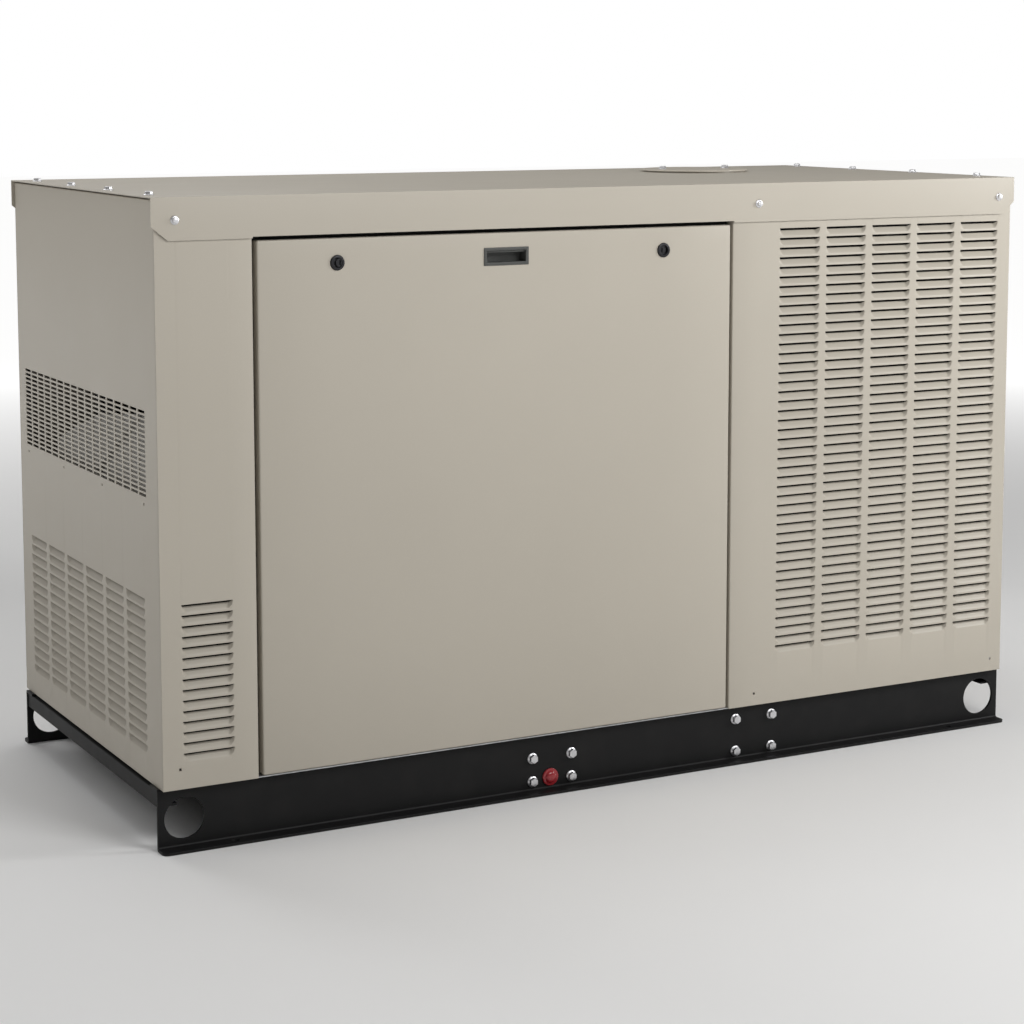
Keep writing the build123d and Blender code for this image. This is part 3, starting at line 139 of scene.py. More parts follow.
# ---- finishes -----------------------------------------------------------------------------
class Signal:
    """A value that changes over a surface: a node's output that Python arithmetic works on."""

    def __init__(self, finish, socket):
        self.finish = finish
        self.socket = socket

    def maths(self, operation, first, second):
        return self.finish.node("ShaderNodeMath", {"operation": operation}, {0: first, 1: second})

    def __add__(self, other):
        return self.maths("ADD", self, other)

    def __radd__(self, other):
        return self.maths("ADD", other, self)

    def __sub__(self, other):
        return self.maths("SUBTRACT", self, other)

    def __rsub__(self, other):
        return self.maths("SUBTRACT", other, self)

    def __mul__(self, other):
        return self.maths("MULTIPLY", self, other)

    def __rmul__(self, other):
        return self.maths("MULTIPLY", other, self)

    def __gt__(self, other):
        return self.maths("GREATER_THAN", self, other)

    def __lt__(self, other):
        return self.maths("LESS_THAN", self, other)


class Finish:
    """A material built from nodes on Object coordinates."""

    def __init__(self, name, metallic=0.0, **constants):
        self.material = bpy.data.materials.new(name)
        self.material.use_nodes = True
        self.tree = self.material.node_tree
        self.shader = self.tree.nodes["Principled BSDF"]
        self.shader.inputs["Metallic"].default_value = metallic
        for socket, value in constants.items():
            self.shader.inputs[socket.replace("_", " ")].default_value = value
        self.place = self.node("ShaderNodeTexCoord", output="Object")

    def node(self, kind, settings=None, values=None, output=0):
        """Add a node: its settings first, then the values or links of its sockets."""
        made = self.tree.nodes.new(kind)
        for key, value in (settings or {}).items():
            if key == "stops":
                self.stops(made.color_ramp, value)
            else:
                setattr(made, key, value)
        for key, value in (values or {}).items():
            if isinstance(value, Signal):
                self.tree.links.new(value.socket, made.inputs[key])
            else:
                made.inputs[key].default_value = value
        return Signal(self, made.outputs[output])

    @staticmethod
    def stops(ramp, places):
        while len(ramp.elements) < len(places):
            ramp.elements.new(0.5)
        for element, (position, grey) in zip(ramp.elements, places):
            element.position = position
            element.color = (grey, grey, grey, 1.0)

    def along(self, axis):
        """One of X, Y and Z in metres."""
        return self.node("ShaderNodeSeparateXYZ", None, {0: self.place}, "XYZ".index(axis))

    def noise(self, scale, detail=2.0, stretch=(1.0, 1.0, 1.0)):
        where = self.node("ShaderNodeMapping", None, {"Vector": self.place, "Scale": stretch})
        return self.node(
            "ShaderNodeTexNoise", None, {"Vector": where, "Scale": scale, "Detail": detail}
        )

    def cells(self, scale, output="Distance", feature="F1"):
        return self.node(
            "ShaderNodeTexVoronoi", {"feature": feature}, {"Vector": self.place, "Scale": scale}, output
        )

    def ramp(self, signal, *places):
        return self.node("ShaderNodeValToRGB", {"stops": places}, {"Fac": signal})

    def mix(self, factor, first, second):
        """Blend two colours; each is a colour or a Signal."""
        first, second = (c if isinstance(c, Signal) else (*c, 1.0) for c in (first, second))
        return self.node("ShaderNodeMix", {"data_type": "RGBA"}, {0: factor, 6: first, 7: second}, 2)

    def wave(self, signal, pitch):
        """0 to 1 and back once every pitch metres."""
        turns = signal * (2.0 * math.pi / pitch)
        return 0.5 + 0.5 * self.node("ShaderNodeMath", {"operation": "SINE"}, {0: turns})

    def feed(self, socket, signal):
        self.tree.links.new(signal.socket, self.shader.inputs[socket])
        return self

    def relief(self, height, depth, edges=0.0):
        """Bump of a depth in metres, over edges that look rounded by a radius."""
        values = {"Height": height, "Distance": depth, "Strength": 1.0}
        if edges:
            values["Normal"] = self.node(
                "ShaderNodeBevel", {"samples": 4}, {"Radius": edges}
            )
        return self.feed("Normal", self.node("ShaderNodeBump", None, values))


def shade(colour, gain):
    return tuple(min(1.0, c * gain) for c in colour)


def powder_coat(name, colour, edges=0.0):
    """Satin powder coat: orange peel, faint mottling and settled dust near the ground."""
    made = Finish(name, Specular_IOR_Level=0.5)
    peel = made.noise(620.0, 2.0)
    mottle = made.noise(2.2, 4.0)
    height = made.along("Z")
    dust = made.ramp(1.0 - height * 3.2, (0.0, 0.0), (1.0, 1.0)) * made.noise(38.0, 5.0)
    body = made.mix(mottle, shade(colour, 0.955), shade(colour, 1.045))
    body = made.mix((peel > 0.66) * 0.22, body, shade(colour, 1.22))
    body = made.mix(dust * 0.22, body, (0.36, 0.33, 0.29))
    made.feed("Base Color", body)
    made.feed("Roughness", 0.37 + 0.1 * made.noise(9.0, 3.0) + 0.12 * dust)
    return made.relief(peel, 0.00004, edges).material


def enamel(name, colour, roughness=0.38, edges=0.0006, dust=0.1, shine=0.5):
    """Sprayed paint over steel or castings, with light dust on it."""
    made = Finish(name, Specular_IOR_Level=shine)
    grain = made.noise(260.0, 3.0)
    film = made.noise(21.0, 5.0)
    body = made.mix(made.noise(5.0, 3.0), shade(colour, 0.85), shade(colour, 1.2))
    body = made.mix(made.ramp(film, (0.45, 0.0), (0.8, 1.0)) * dust, body, (0.2, 0.19, 0.17))
    made.feed("Base Color", body)
    made.feed("Roughness", roughness + 0.16 * film)
    return made.relief(grain, 0.00008, edges).material


def cast_metal(name, colour, metallic, roughness=0.55, edges=0.0012):
    """A sand casting: pebbled skin, darker in its pores."""
    made = Finish(name, metallic)
    skin = made.noise(330.0, 4.0)
    stain = made.noise(11.0, 6.0)
    body = made.mix(skin, shade(colour, 0.7), shade(colour, 1.18))
    body = made.mix(made.ramp(stain, (0.5, 0.0), (0.85, 1.0)) * 0.35, body, shade(colour, 0.4))
    made.feed("Base Color", body)
    made.feed("Roughness", roughness + 0.2 * stain)
    return made.relief(skin, 0.00035, edges).material


def turned_steel(name, colour, roughness=0.3, edges=0.0005, streak=(1.0, 1.0, 1.0)):
    """Bare or plated metal with fine working marks."""
    made = Finish(name, 1.0)
    marks = made.noise(420.0, 2.0, streak)
    bloom = made.noise(24.0, 5.0)
    made.feed("Base Color", made.mix(bloom, shade(colour, 0.78), shade(colour, 1.08)))
    made.feed("Roughness", roughness + 0.12 * marks + 0.14 * bloom)
    return made.relief(marks, 0.00002, edges).material


def zinc_sheet(name, colour, edges=0.0006):
    """Galvanised sheet with its crystal spangle."""
    made = Finish(name, 1.0)
    spangle = made.cells(95.0, "Color")
    crystal = made.node("ShaderNodeSeparateColor", None, {0: spangle}, 0)
    made.feed("Base Color", made.mix(crystal, shade(colour, 0.72), shade(colour, 1.05)))
    made.feed("Roughness", 0.34 + 0.16 * crystal + 0.08 * made.noise(40.0))
    return made.relief(crystal, 0.00002, edges).material


def moulded(name, colour, roughness=0.5, edges=0.0006, gloss=0.0):
    """Injection-moulded plastic with a fine spark texture."""
    made = Finish(name, Coat_Weight=gloss, Coat_Roughness=0.12)
    spark = made.noise(900.0, 2.0)
    haze = made.noise(30.0, 4.0)
    made.feed("Base Color", made.mix(haze, shade(colour, 0.86), shade(colour, 1.16)))
    made.feed("Roughness", roughness + 0.12 * haze)
    return made.relief(spark, 0.00003, edges).material


def foam(name, colour):
    """Open-cell foam: pores and a soft sheen."""
    made = Finish(name, Sheen_Weight=0.25)
    pores = made.cells(420.0)
    made.feed("Base Color", made.mix(pores, shade(colour, 0.5), shade(colour, 1.7)))
    made.feed("Roughness", 0.86 + 0.1 * made.noise(60.0))
    return made.relief(pores, 0.0006).material


def rubber(name, colour, edges=0.0006):
    """Matt rubber with a dusty bloom."""
    made = Finish(name)
    bloom = made.noise(26.0, 5.0)
    dusty = made.ramp(bloom, (0.5, 0.0), (0.9, 1.0)) * 0.3
    made.feed("Base Color", made.mix(dusty, colour, (0.09, 0.088, 0.084)))
    made.feed("Roughness", 0.62 + 0.2 * bloom)
    return made.relief(made.noise(500.0), 0.00004, edges).material


def heated_steel(name, colour):
    """Aluminised exhaust steel, browned by heat."""
    made = Finish(name, 1.0)
    heat = made.ramp(made.noise(6.0, 5.0), (0.35, 0.0), (0.7, 1.0))
    made.feed("Base Color", made.mix(heat, colour, (0.24, 0.17, 0.11)))
    made.feed("Roughness", 0.42 + 0.2 * made.noise(60.0, 4.0))
    return made.relief(made.noise(300.0, 3.0), 0.00008, 0.001).material


def woven_mesh(name, colour):
    """Fine black wire cloth: two crossing waves of wire."""
    made = Finish(name, 0.2, Specular_IOR_Level=0.25)
    weft = made.wave(made.along("Z"), 1.6 * MM)
    warp = made.wave(made.along("X") + made.along("Y"), 1.6 * MM)
    wires = made.node("ShaderNodeMath", {"operation": "MAXIMUM"}, {0: weft, 1: warp})
    made.feed("Base Color", made.mix(wires, shade(colour, 0.2), colour))
    made.feed("Roughness", 0.7 + 0.1 * made.noise(40.0))
    return made.relief(wires, 0.0004).material


def finned_core(name, colour):
    """Radiator core: close fins between flat tubes, in black paint."""
    made = Finish(name, 0.35)
    low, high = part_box("radiator")
    height = made.along("Z")
    fins = made.wave(height, 2.4 * MM)
    tubes = made.wave(made.along("Y"), 10.0 * MM)
    inside = (height > low.z + 0.055) * (height < high.z - 0.055)
    ridge = made.node("ShaderNodeMath", {"operation": "MAXIMUM"}, {0: fins * 0.6, 1: tubes}) * inside
    made.feed("Base Color", made.mix(ridge, shade(colour, 0.25), shade(colour, 1.5)))
    made.feed("Roughness", 0.48 + 0.12 * made.noise(50.0))
    return made.relief(ridge, 0.0012, 0.001).material


def make_finishes():
    """Every finish by name."""
    paint = colours()
    black = (0.012, 0.012, 0.0125)
    return {
        "coat": powder_coat("beige_powder_coat", tuple(paint.coat)),
        "skid": enamel("satin_black_skid_paint", tuple(paint.skid), 0.4, 0.0016, 0.02, 0.2),
        "black_paint": enamel("black_pan_paint", (0.014, 0.014, 0.015), 0.42),
        "duct_paint": enamel("pale_duct_paint", (0.42, 0.41, 0.39), 0.5, 0.0008, 0.04),
        "cream_paint": enamel("cream_box_paint", (0.55, 0.53, 0.47), 0.36, 0.001, 0.06),
        "filter_paint": enamel("oil_filter_paint", (0.62, 0.61, 0.57), 0.25, 0.001, 0.05),
        "zinc": turned_steel("bright_zinc_plate", (0.78, 0.78, 0.80), 0.26),
        "steel": turned_steel("machined_steel", (0.46, 0.455, 0.45), 0.3, 0.0006, (1.0, 6.0, 6.0)),
        "black_zinc": turned_steel("black_zinc_plate", (0.045, 0.045, 0.048), 0.34),
        "galvanised": zinc_sheet("galvanised_sheet", (0.60, 0.61, 0.62)),
        "iron": cast_metal("painted_cast_iron", (0.075, 0.078, 0.083), 0.25, 0.48),
        "aluminium": cast_metal("sand_cast_aluminium", (0.58, 0.585, 0.59), 1.0, 0.4),
        "exhaust": heated_steel("aluminised_exhaust_steel", (0.5, 0.48, 0.45)),
        "plastic": moulded("black_moulded_plastic", black, 0.48),
        "bezel": moulded("charcoal_bezel_plastic", (0.062, 0.064, 0.060), 0.36),
        "case": moulded("battery_case_plastic", (0.016, 0.016, 0.018), 0.4),
        "red": moulded("red_cap_plastic", tuple(paint.cap), 0.24, 0.0008, 0.6),
        "rubber": rubber("dusty_black_rubber", (0.014, 0.014, 0.014)),
        # near-black wire cloth of the louvre screens: painted shade in the louvre slits
        "mesh": woven_mesh("shade_black_wire_cloth", (0.012, 0.012, 0.012)),
        # near-black door seal foam: a real gasket that also serves as painted shade in the door gaps
        "seal": foam("gap_shading_seal_foam", (0.010, 0.010, 0.010)),
        "lining": foam("acoustic_lining_foam", tuple(paint.lining)),
        "core": finned_core("finned_radiator_core", (0.05, 0.05, 0.052)),
    }


finishes = {}

NODE_FINISH = {
    "skid": ("front_rail", "rear_rail", "crossmembers", "battery_tray"),
    "galvanised": ("enclosure_frame",),
    "duct_paint": ("intake_duct",),
    "black_zinc": (
        "front_left_latch", "front_right_latch", "rear_left_latch", "rear_right_latch",
    ),
    "iron": ("engine_block", "flywheel_housing"),
    "black_paint": ("oil_pan",),
    "aluminium": (
        "cylinder_head", "intake_manifold", "water_pump", "charging_alternator", "gas_regulator",
    ),
    "steel": (
        "crankshaft", "alternator_pulley", "dipstick", "rotor", "flywheel", "starter_motor",
    ),
    "zinc": ("radiator_cap",),
    "plastic": (
        "valve_cover", "oil_filler_cap", "cooling_fan", "fan_shroud", "air_cleaner",
        "breaker_toggle", "mode_knob",
    ),
    "red": ("reset_button",),
    "filter_paint": ("oil_filter",),
    "cream_paint": ("generator_stator", "control_box"),
    "rubber": ("drive_belt", "vibration_mounts", "hoses", "battery_leads"),
    "exhaust": ("exhaust_manifold", "muffler", "exhaust_pipes"),
    "case": ("battery",),
    "core": ("radiator",),
}


# ---- mesh helpers -------------------------------------------------------------------------
def face_away(bm, middle):
    """Turn an open skin so that its faces look away from a point inside the unit."""
    lean = sum(f.normal.dot(f.calc_center_median() - middle) * f.calc_area() for f in bm.faces)
    if lean < 0:
        bmesh.ops.reverse_faces(bm, faces=bm.faces)


def round_edges(bm, edges, radius, segments=3):
    bmesh.ops.bevel(
        bm, geom=edges, offset=radius, offset_type="OFFSET", segments=segments,
        profile=0.5, affect="EDGES", material=-1, clamp_overlap=True,
    )


def draw_out(bm, edges, vector):
    """Extrude edges by a vector and give the edges at the far side."""
    made = bmesh.ops.extrude_edge_only(bm, edges=edges)["geom"]
    moved = {g for g in made if isinstance(g, bmesh.types.BMVert)}
    bmesh.ops.translate(bm, verts=list(moved), vec=vector)
    return [g for g in made if isinstance(g, bmesh.types.BMEdge) and moved.issuperset(g.verts)]


def finish_piece(name, bm, body, finish, replaces=(), thick=0.0, edge=0.0, soft=38.0):
    """Turn a bmesh into a piece of the object, with any wall thickness and edge rounding."""
    mesh = bpy.data.meshes.new(name)
    bmesh.ops.remove_doubles(bm, verts=bm.verts, dist=NEAR)
    bm.to_mesh(mesh)
    bm.free()
    piece = bpy.data.objects.new(name, mesh)
    bpy.context.collection.objects.link(piece)
    if thick:
        wall = piece.modifiers.new("wall", "SOLIDIFY")
        wall.thickness = thick
        wall.offset = -1.0
        wall.use_even_offset = False
    if edge:
        ease = piece.modifiers.new("ease", "BEVEL")
        ease.width = edge
        ease.segments = 2
        ease.limit_method = "ANGLE"
        ease.angle_limit = math.radians(50.0)
    if thick or edge:
        graph = bpy.context.evaluated_depsgraph_get()
        solid = bpy.data.meshes.new_from_object(piece.evaluated_get(graph), depsgraph=graph)
        piece.modifiers.clear()
        piece.data = solid
    piece.data.materials.clear()
    piece.data.materials.append(finishes[finish])
    piece.data.shade_smooth()
    piece.data.set_sharp_from_angle(angle=math.radians(soft))
    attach(piece, body)
    if replaces:
        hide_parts(*replaces)
    return piece


def block(bm, low, high, radius=0.0, segments=2):
    """A box between two corners, its edges rounded."""
    span = [b - a for a, b in zip(low, high)]
    middle = [(a + b) / 2 for a, b in zip(low, high)]
    shape = Matrix.Translation(middle) @ Matrix.Diagonal((*span, 1.0))
    made = bmesh.ops.create_cube(bm, size=1.0, matrix=shape)["verts"]
    if radius:
        edges = list({e for v in made for e in v.link_edges})
        round_edges(bm, edges, radius, segments)
    return made


def turning(start, axis):
    """A frame at start whose +Z points along axis."""
    return Matrix.Translation(start) @ Vector(axis).to_track_quat("Z", "Y").to_matrix().to_4x4()


def turned(bm, start, axis, profile, steps=32):
    """Spin a profile of (radius, height) points round an axis; its ends are on the axis."""
    earlier = set(bm.verts)
    chain = [bm.verts.new((r, 0.0, h)) for r, h in profile]
    edges = [bm.edges.new(pair) for pair in zip(chain, chain[1:])]
    bmesh.ops.spin(
        bm, geom=chain + edges, cent=(0, 0, 0), axis=(0, 0, 1), dvec=(0, 0, 0),
        angle=2 * math.pi, steps=steps, use_merge=True, use_duplicate=False,
    )
    bmesh.ops.remove_doubles(bm, verts=[v for v in bm.verts if v not in earlier], dist=NEAR)
    kept = [v for v in bm.verts if v not in earlier]
    bmesh.ops.recalc_face_normals(bm, faces=list({f for v in kept for f in v.link_faces}))
    bmesh.ops.transform(bm, matrix=turning(start, axis), verts=kept)
    return kept


def hex_screw(bm, start, axis, washer_r, washer_h, hex_r, hex_h):
    """A flanged hex screw head standing on start: a dished flange and a chamfered hexagon."""
    profile = [
        (0.0, 0.0), (washer_r * 0.98, 0.0), (washer_r, washer_h * 0.45),
        (washer_r * 0.93, washer_h * 0.8), (hex_r * 0.86, washer_h * 1.25), (0.0, washer_h * 1.25),
    ]
    turned(bm, start, axis, profile, 20)
    place = turning(Vector(start) + Vector(axis) * (washer_h + hex_h / 2), axis)
    head = bmesh.ops.create_cone(
        bm, cap_ends=True, segments=6, radius1=hex_r, radius2=hex_r, depth=hex_h, matrix=place
    )["verts"]
    axis = Vector(axis)
    top = max(v.co.dot(axis) for v in head)
    crown = {v for v in head if abs(v.co.dot(axis) - top) < 10 * NEAR}
    rim = {e for v in crown for e in v.link_edges if crown.issuperset(e.verts)}
    round_edges(bm, list(rim), hex_h * 0.22, 2)


class Sheet:
    """A flat sheet laid out as a grid of cuts, so that openings and louvres fall on its lines."""

    def __init__(self, across, up, place):
        self.across = sorted(set(round(v, 6) for v in across))
        self.up = sorted(set(round(v, 6) for v in up))
        self.bm = bmesh.new()
        columns, rows = len(self.across) - 1, len(self.up) - 1
        bmesh.ops.create_grid(self.bm, x_segments=columns, y_segments=rows, size=1.0)
        self.cut = {}
        for vert in self.bm.verts:
            key = (round((vert.co.x + 1) / 2 * columns), round((vert.co.y + 1) / 2 * rows))
            self.cut[key] = vert
        for (i, j), vert in self.cut.items():
            vert.co = place(self.across[i], self.up[j])

    def index(self, values, value):
        return min(range(len(values)), key=lambda k: abs(values[k] - value))

    def cells(self, box):
        """Faces between across 0 and 1, up 2 and 3."""
        i0, i1 = self.index(self.across, box[0]), self.index(self.across, box[1])
        j0, j1 = self.index(self.up, box[2]), self.index(self.up, box[3])
        found = []
        for i in range(i0, i1):
            for j in range(j0, j1):
                corners = [self.cut[k] for k in ((i, j), (i + 1, j), (i + 1, j + 1), (i, j + 1))]
                common = set(corners[0].link_faces)
                for corner in corners[1:]:
                    common &= set(corner.link_faces)
                found += list(common)
        return found

    def open(self, box):
        bmesh.ops.delete(self.bm, geom=self.cells(box), context="FACES_ONLY")

    def push(self, box, vector):
        """Move the grid points on a line or in a box."""
        i0, i1 = self.index(self.across, box[0]), self.index(self.across, box[1])
        j0, j1 = self.index(self.up, box[2]), self.index(self.up, box[3])
        for i in range(i0, i1 + 1):
            for j in range(j0, j1 + 1):
                self.cut[(i, j)].co += vector


class Louvres:
    """A field of louvres drawn inwards: a slit under a flush lip, then a blade that rises
    back out, with a rounded wall round its ends."""

    def __init__(self, middles, width, top, rows):
        self.middles, self.width, self.top, self.rows = middles, width, top, rows

    def across(self):
        half, cheek = self.width / 2, sizes().cheek
        steps = [-1.0 * MM] + [cheek * share for share in (0.0, 0.16, 0.84, 1.0, 1.4)]
        return [m + side * (half - step) for m in self.middles for side in (-1, 1) for step in steps]

    def stations(self, row):
        """A louvre's lip, then its lines as height, rise from the foot and share of the depth."""
        top = self.top - row * sizes().pitch
        foot = top - sizes().pitch + sizes().lip
        slope = top - sizes().slit - foot
        places = ((1.0, 1.0), (0.68, 0.67), (0.36, 0.33), (0.13, 0.07), (0.0, 0.0))
        return top, [(foot + slope * rise, rise, share) for rise, share in places]

    def up(self):
        return [z for row in range(self.rows) for z in self.heights(row)]

    def heights(self, row):
        top, lines = self.stations(row)
        return [top] + [line[0] for line in lines]

    def drawn(self, offset):
        """Share of the depth at a distance from the louvre's middle, 0 at its rim."""
        run = max(0.0, min(1.0, (self.width / 2 - abs(offset)) / sizes().cheek))
        return run * run * (3.0 - 2.0 * run)

    def press(self, sheet, inward):
        half = self.width / 2
        cut = half - sizes().cheek * 0.16
        along = (sheet.cut[(1, 0)].co - sheet.cut[(0, 0)].co).normalized()
        for row in range(self.rows):
            top, lines = self.stations(row)
            for m in self.middles:
                first, last = sheet.index(sheet.across, m - half), sheet.index(sheet.across, m + half)
                for z, rise, share in lines[:-1]:
                    j = sheet.index(sheet.up, z)
                    draw = sizes().taper * (1.0 - rise) ** 1.7 / half
                    for i in range(first, last + 1):
                        offset = sheet.across[i] - m
                        vert = sheet.cut[(i, j)]
                        depth = self.drawn(offset)
                        vert.co += inward * (sizes().sink * share * depth) - along * (offset * draw)
                        if rise == 1.0:
                            vert.co.z += sizes().slit * (1.0 - depth) * 0.8
                sheet.open((m - cut, m + cut, lines[0][0], top))
                sheet.push((m - cut, m + cut, top, top), inward * -sizes().roll)


def spaced(middle, count, spacing):
    return [middle + (k - (count - 1) / 2) * spacing for k in range(count)]


def cut_lines(holes):
    """Across and up lines of small square holes."""
    across = [v for x0, x1, z0, z1 in holes for v in (x0, x1)]
    up = [v for x0, x1, z0, z1 in holes for v in (z0, z1)]
    return across, up


def small_hole(x, z, half=2.3 * MM):
    return (x - half, x + half, z - half, z + half)


# ---- the sheet-metal pieces ---------------------------------------------------------------
SIDE_WIDTH, SIDE_SPACING, SIDE_MIDDLE, SIDE_COLUMNS = 0.098, 0.112, 0.630, 5
END_WIDTH, END_SPACING, END_MIDDLE, END_COLUMNS = 0.103, 0.117, 0.010, 6
TALL_TOP, TALL_ROWS = 1.068, 45
SHORT_TOP, SHORT_ROWS, SHORT_MIDDLE = 0.444, 15, -0.8475
SLOT_PITCH, SLOT_SIZE, SLOT_COUNT, SLOT_MIDDLE = (0.0427, 0.00872), (0.036, 0.0052), (17, 18), 0.705
CENTRE = Vector((0.0, 0.0, 0.6))


def make_side_panel(name, side, louvres, door_edge, holes):
    low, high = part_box(name)
    face_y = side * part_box("front_door")[0].y * -1
    across, up = cut_lines(holes)
    sheet = Sheet(
        [low.x, high.x] + louvres.across() + across,
        [low.z, high.z] + louvres.up() + up,
        lambda x, z: Vector((x, face_y, z)),
    )
    bm = sheet.bm
    louvres.press(sheet, Vector((0, -side, 0)))
    for hole in holes:
        sheet.open(hole)
    edge_x = low.x if door_edge < 0 else high.x
    rim = [
        e for e in bm.edges
        if e.is_boundary and all(abs(v.co.x - edge_x) < NEAR for v in e.verts)
    ]
    draw_out(bm, rim, (0, -side * DOOR_RETURN, 0))
    round_edges(bm, rim, sizes().fold * 0.8)
    face_away(bm, CENTRE)
    return finish_piece(
        name.replace("panel", "louvred_panel"), bm, "genset", "coat", (name,), sizes().sheet,
        soft=27.0,
    )


def make_end_panel(name, end):
    low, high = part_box(name)
    face_x = low.x if end < 0 else high.x
    louvres = Louvres(
        spaced(END_MIDDLE, END_COLUMNS, END_SPACING), END_WIDTH,
        SHORT_TOP if end < 0 else TALL_TOP, SHORT_ROWS if end < 0 else TALL_ROWS,
    )
    slots, holes = [], []
    if end < 0:
        half_y, half_z = SLOT_SIZE[0] / 2, SLOT_SIZE[1] / 2
        slots = [
            (y - half_y, y + half_y, z - half_z, z + half_z)
            for y in spaced(END_MIDDLE, SLOT_COUNT[0], SLOT_PITCH[0])
            for z in spaced(SLOT_MIDDLE, SLOT_COUNT[1], SLOT_PITCH[1])
        ]
        foot = SLOT_MIDDLE - SLOT_COUNT[1] * SLOT_PITCH[1] / 2 - 0.012
        holes = [small_hole(y, foot) for y in spaced(END_MIDDLE, 4, 0.232)]
    across, up = cut_lines(slots + holes)
    top = high.z
    sheet = Sheet(
        [low.y, high.y] + louvres.across() + across,
        [low.z, top] + louvres.up() + up,
        lambda y, z: Vector((face_x, y, z)),
    )
    louvres.press(sheet, Vector((-end, 0, 0)))
    for hole in slots + holes:
        sheet.open(hole)
    bm = sheet.bm
    rim = [e for e in bm.edges if e.is_boundary and all(abs(v.co.z - top) < NEAR for v in e.verts)]
    draw_out(bm, rim, (-end * TOP_FLANGE, 0, 0))
    round_edges(bm, rim, sizes().fold * 0.8)
    face_away(bm, CENTRE)
    return finish_piece(
        name.replace("panel", "louvred_panel"), bm, "genset", "coat", (name,), sizes().sheet,
        soft=27.0,
    )


def make_roof():
    low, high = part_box("roof")
    door_low, door_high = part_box("front_door")
    chamfer, drop, relief = 0.030, 0.025, 0.003
    notch = (door_low.x - 0.009, door_high.x + 0.006)
    stations = [
        low.x, low.x + chamfer, notch[0] - 0.0004, notch[0] + 0.0004,
        notch[1] - 0.0004, notch[1] + 0.0004, high.x - chamfer, high.x,
    ]
    bm = bmesh.new()
    chain = [
        bm.verts.new((low.x, y, z))
        for y, z in ((low.y, low.z), (low.y, high.z), (high.y, high.z), (high.y, low.z))
    ]
    edges = [bm.edges.new(pair) for pair in zip(chain, chain[1:])]
    for start, stop in zip(stations, stations[1:]):
        edges = draw_out(bm, edges, (stop - start, 0, 0))
    for vert in bm.verts:
        if vert.co.z > low.z + 10 * NEAR:
            continue
        if abs(vert.co.x - low.x) < 10 * NEAR or abs(vert.co.x - high.x) < 10 * NEAR:
            vert.co.z += drop
        elif notch[0] < vert.co.x < notch[1]:
            vert.co.z += relief
    folds = [
        e for e in bm.edges
        if all(v.co.z > high.z - 10 * NEAR and abs(abs(v.co.y) - high.y) < 10 * NEAR for v in e.verts)
    ]
    round_edges(bm, folds, sizes().fold * 1.3, 5)
    face_away(bm, CENTRE)
    return finish_piece("folded_roof", bm, "genset", "coat", ("roof",), sizes().sheet)


def make_door(side_name, side):
    """A pan door: face with its openings, folded returns all round."""
    low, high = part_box(f"{side_name}_door")
    face_y, back_y = (low.y, high.y) if side < 0 else (high.y, low.y)
    locks = [
        sum(c.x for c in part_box(f"{side_name}_{w}_latch")) / 2 + k * 0.024
        for w, k in (("left", -1), ("right", 1))
    ]
    lock_z = sum(c.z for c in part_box(f"{side_name}_left_latch")) / 2
    pull_x = (low.x + high.x) / 2
    openings = [(x - 0.009, x + 0.009, lock_z - 0.009, lock_z + 0.009) for x in locks]
    openings.append((pull_x - 0.0425, pull_x + 0.0425, lock_z - 0.0127, lock_z + 0.0127))
    across, up = cut_lines(openings)
    sheet = Sheet(
        [low.x, high.x] + across, [low.z, high.z] + up, lambda x, z: Vector((x, face_y, z))
    )
    for opening in openings:
        sheet.open(opening)
    bm = sheet.bm

    def outside(vert):
        co = vert.co
        return min(abs(co.x - low.x), abs(co.x - high.x), abs(co.z - low.z), abs(co.z - high.z)) < NEAR

    rim = [e for e in bm.edges if e.is_boundary and all(outside(v) for v in e.verts)]
    draw_out(bm, rim, (0, back_y - face_y, 0))
    corners = [
        e for e in bm.edges
        if all(
            min(abs(v.co.x - low.x), abs(v.co.x - high.x)) < NEAR
            and min(abs(v.co.z - low.z), abs(v.co.z - high.z)) < NEAR
            for v in e.verts
        ) and abs(e.verts[0].co.y - e.verts[1].co.y) > 0.01
    ]
    round_edges(bm, rim + corners, sizes().fold, 4)
    face_away(bm, Vector((pull_x, 0, (low.z + high.z) / 2)))
    return finish_piece(
        f"{side_name}_door_pan", bm, f"{side_name}_door", "coat",
        (f"{side_name}_door",), sizes().sheet,
    )


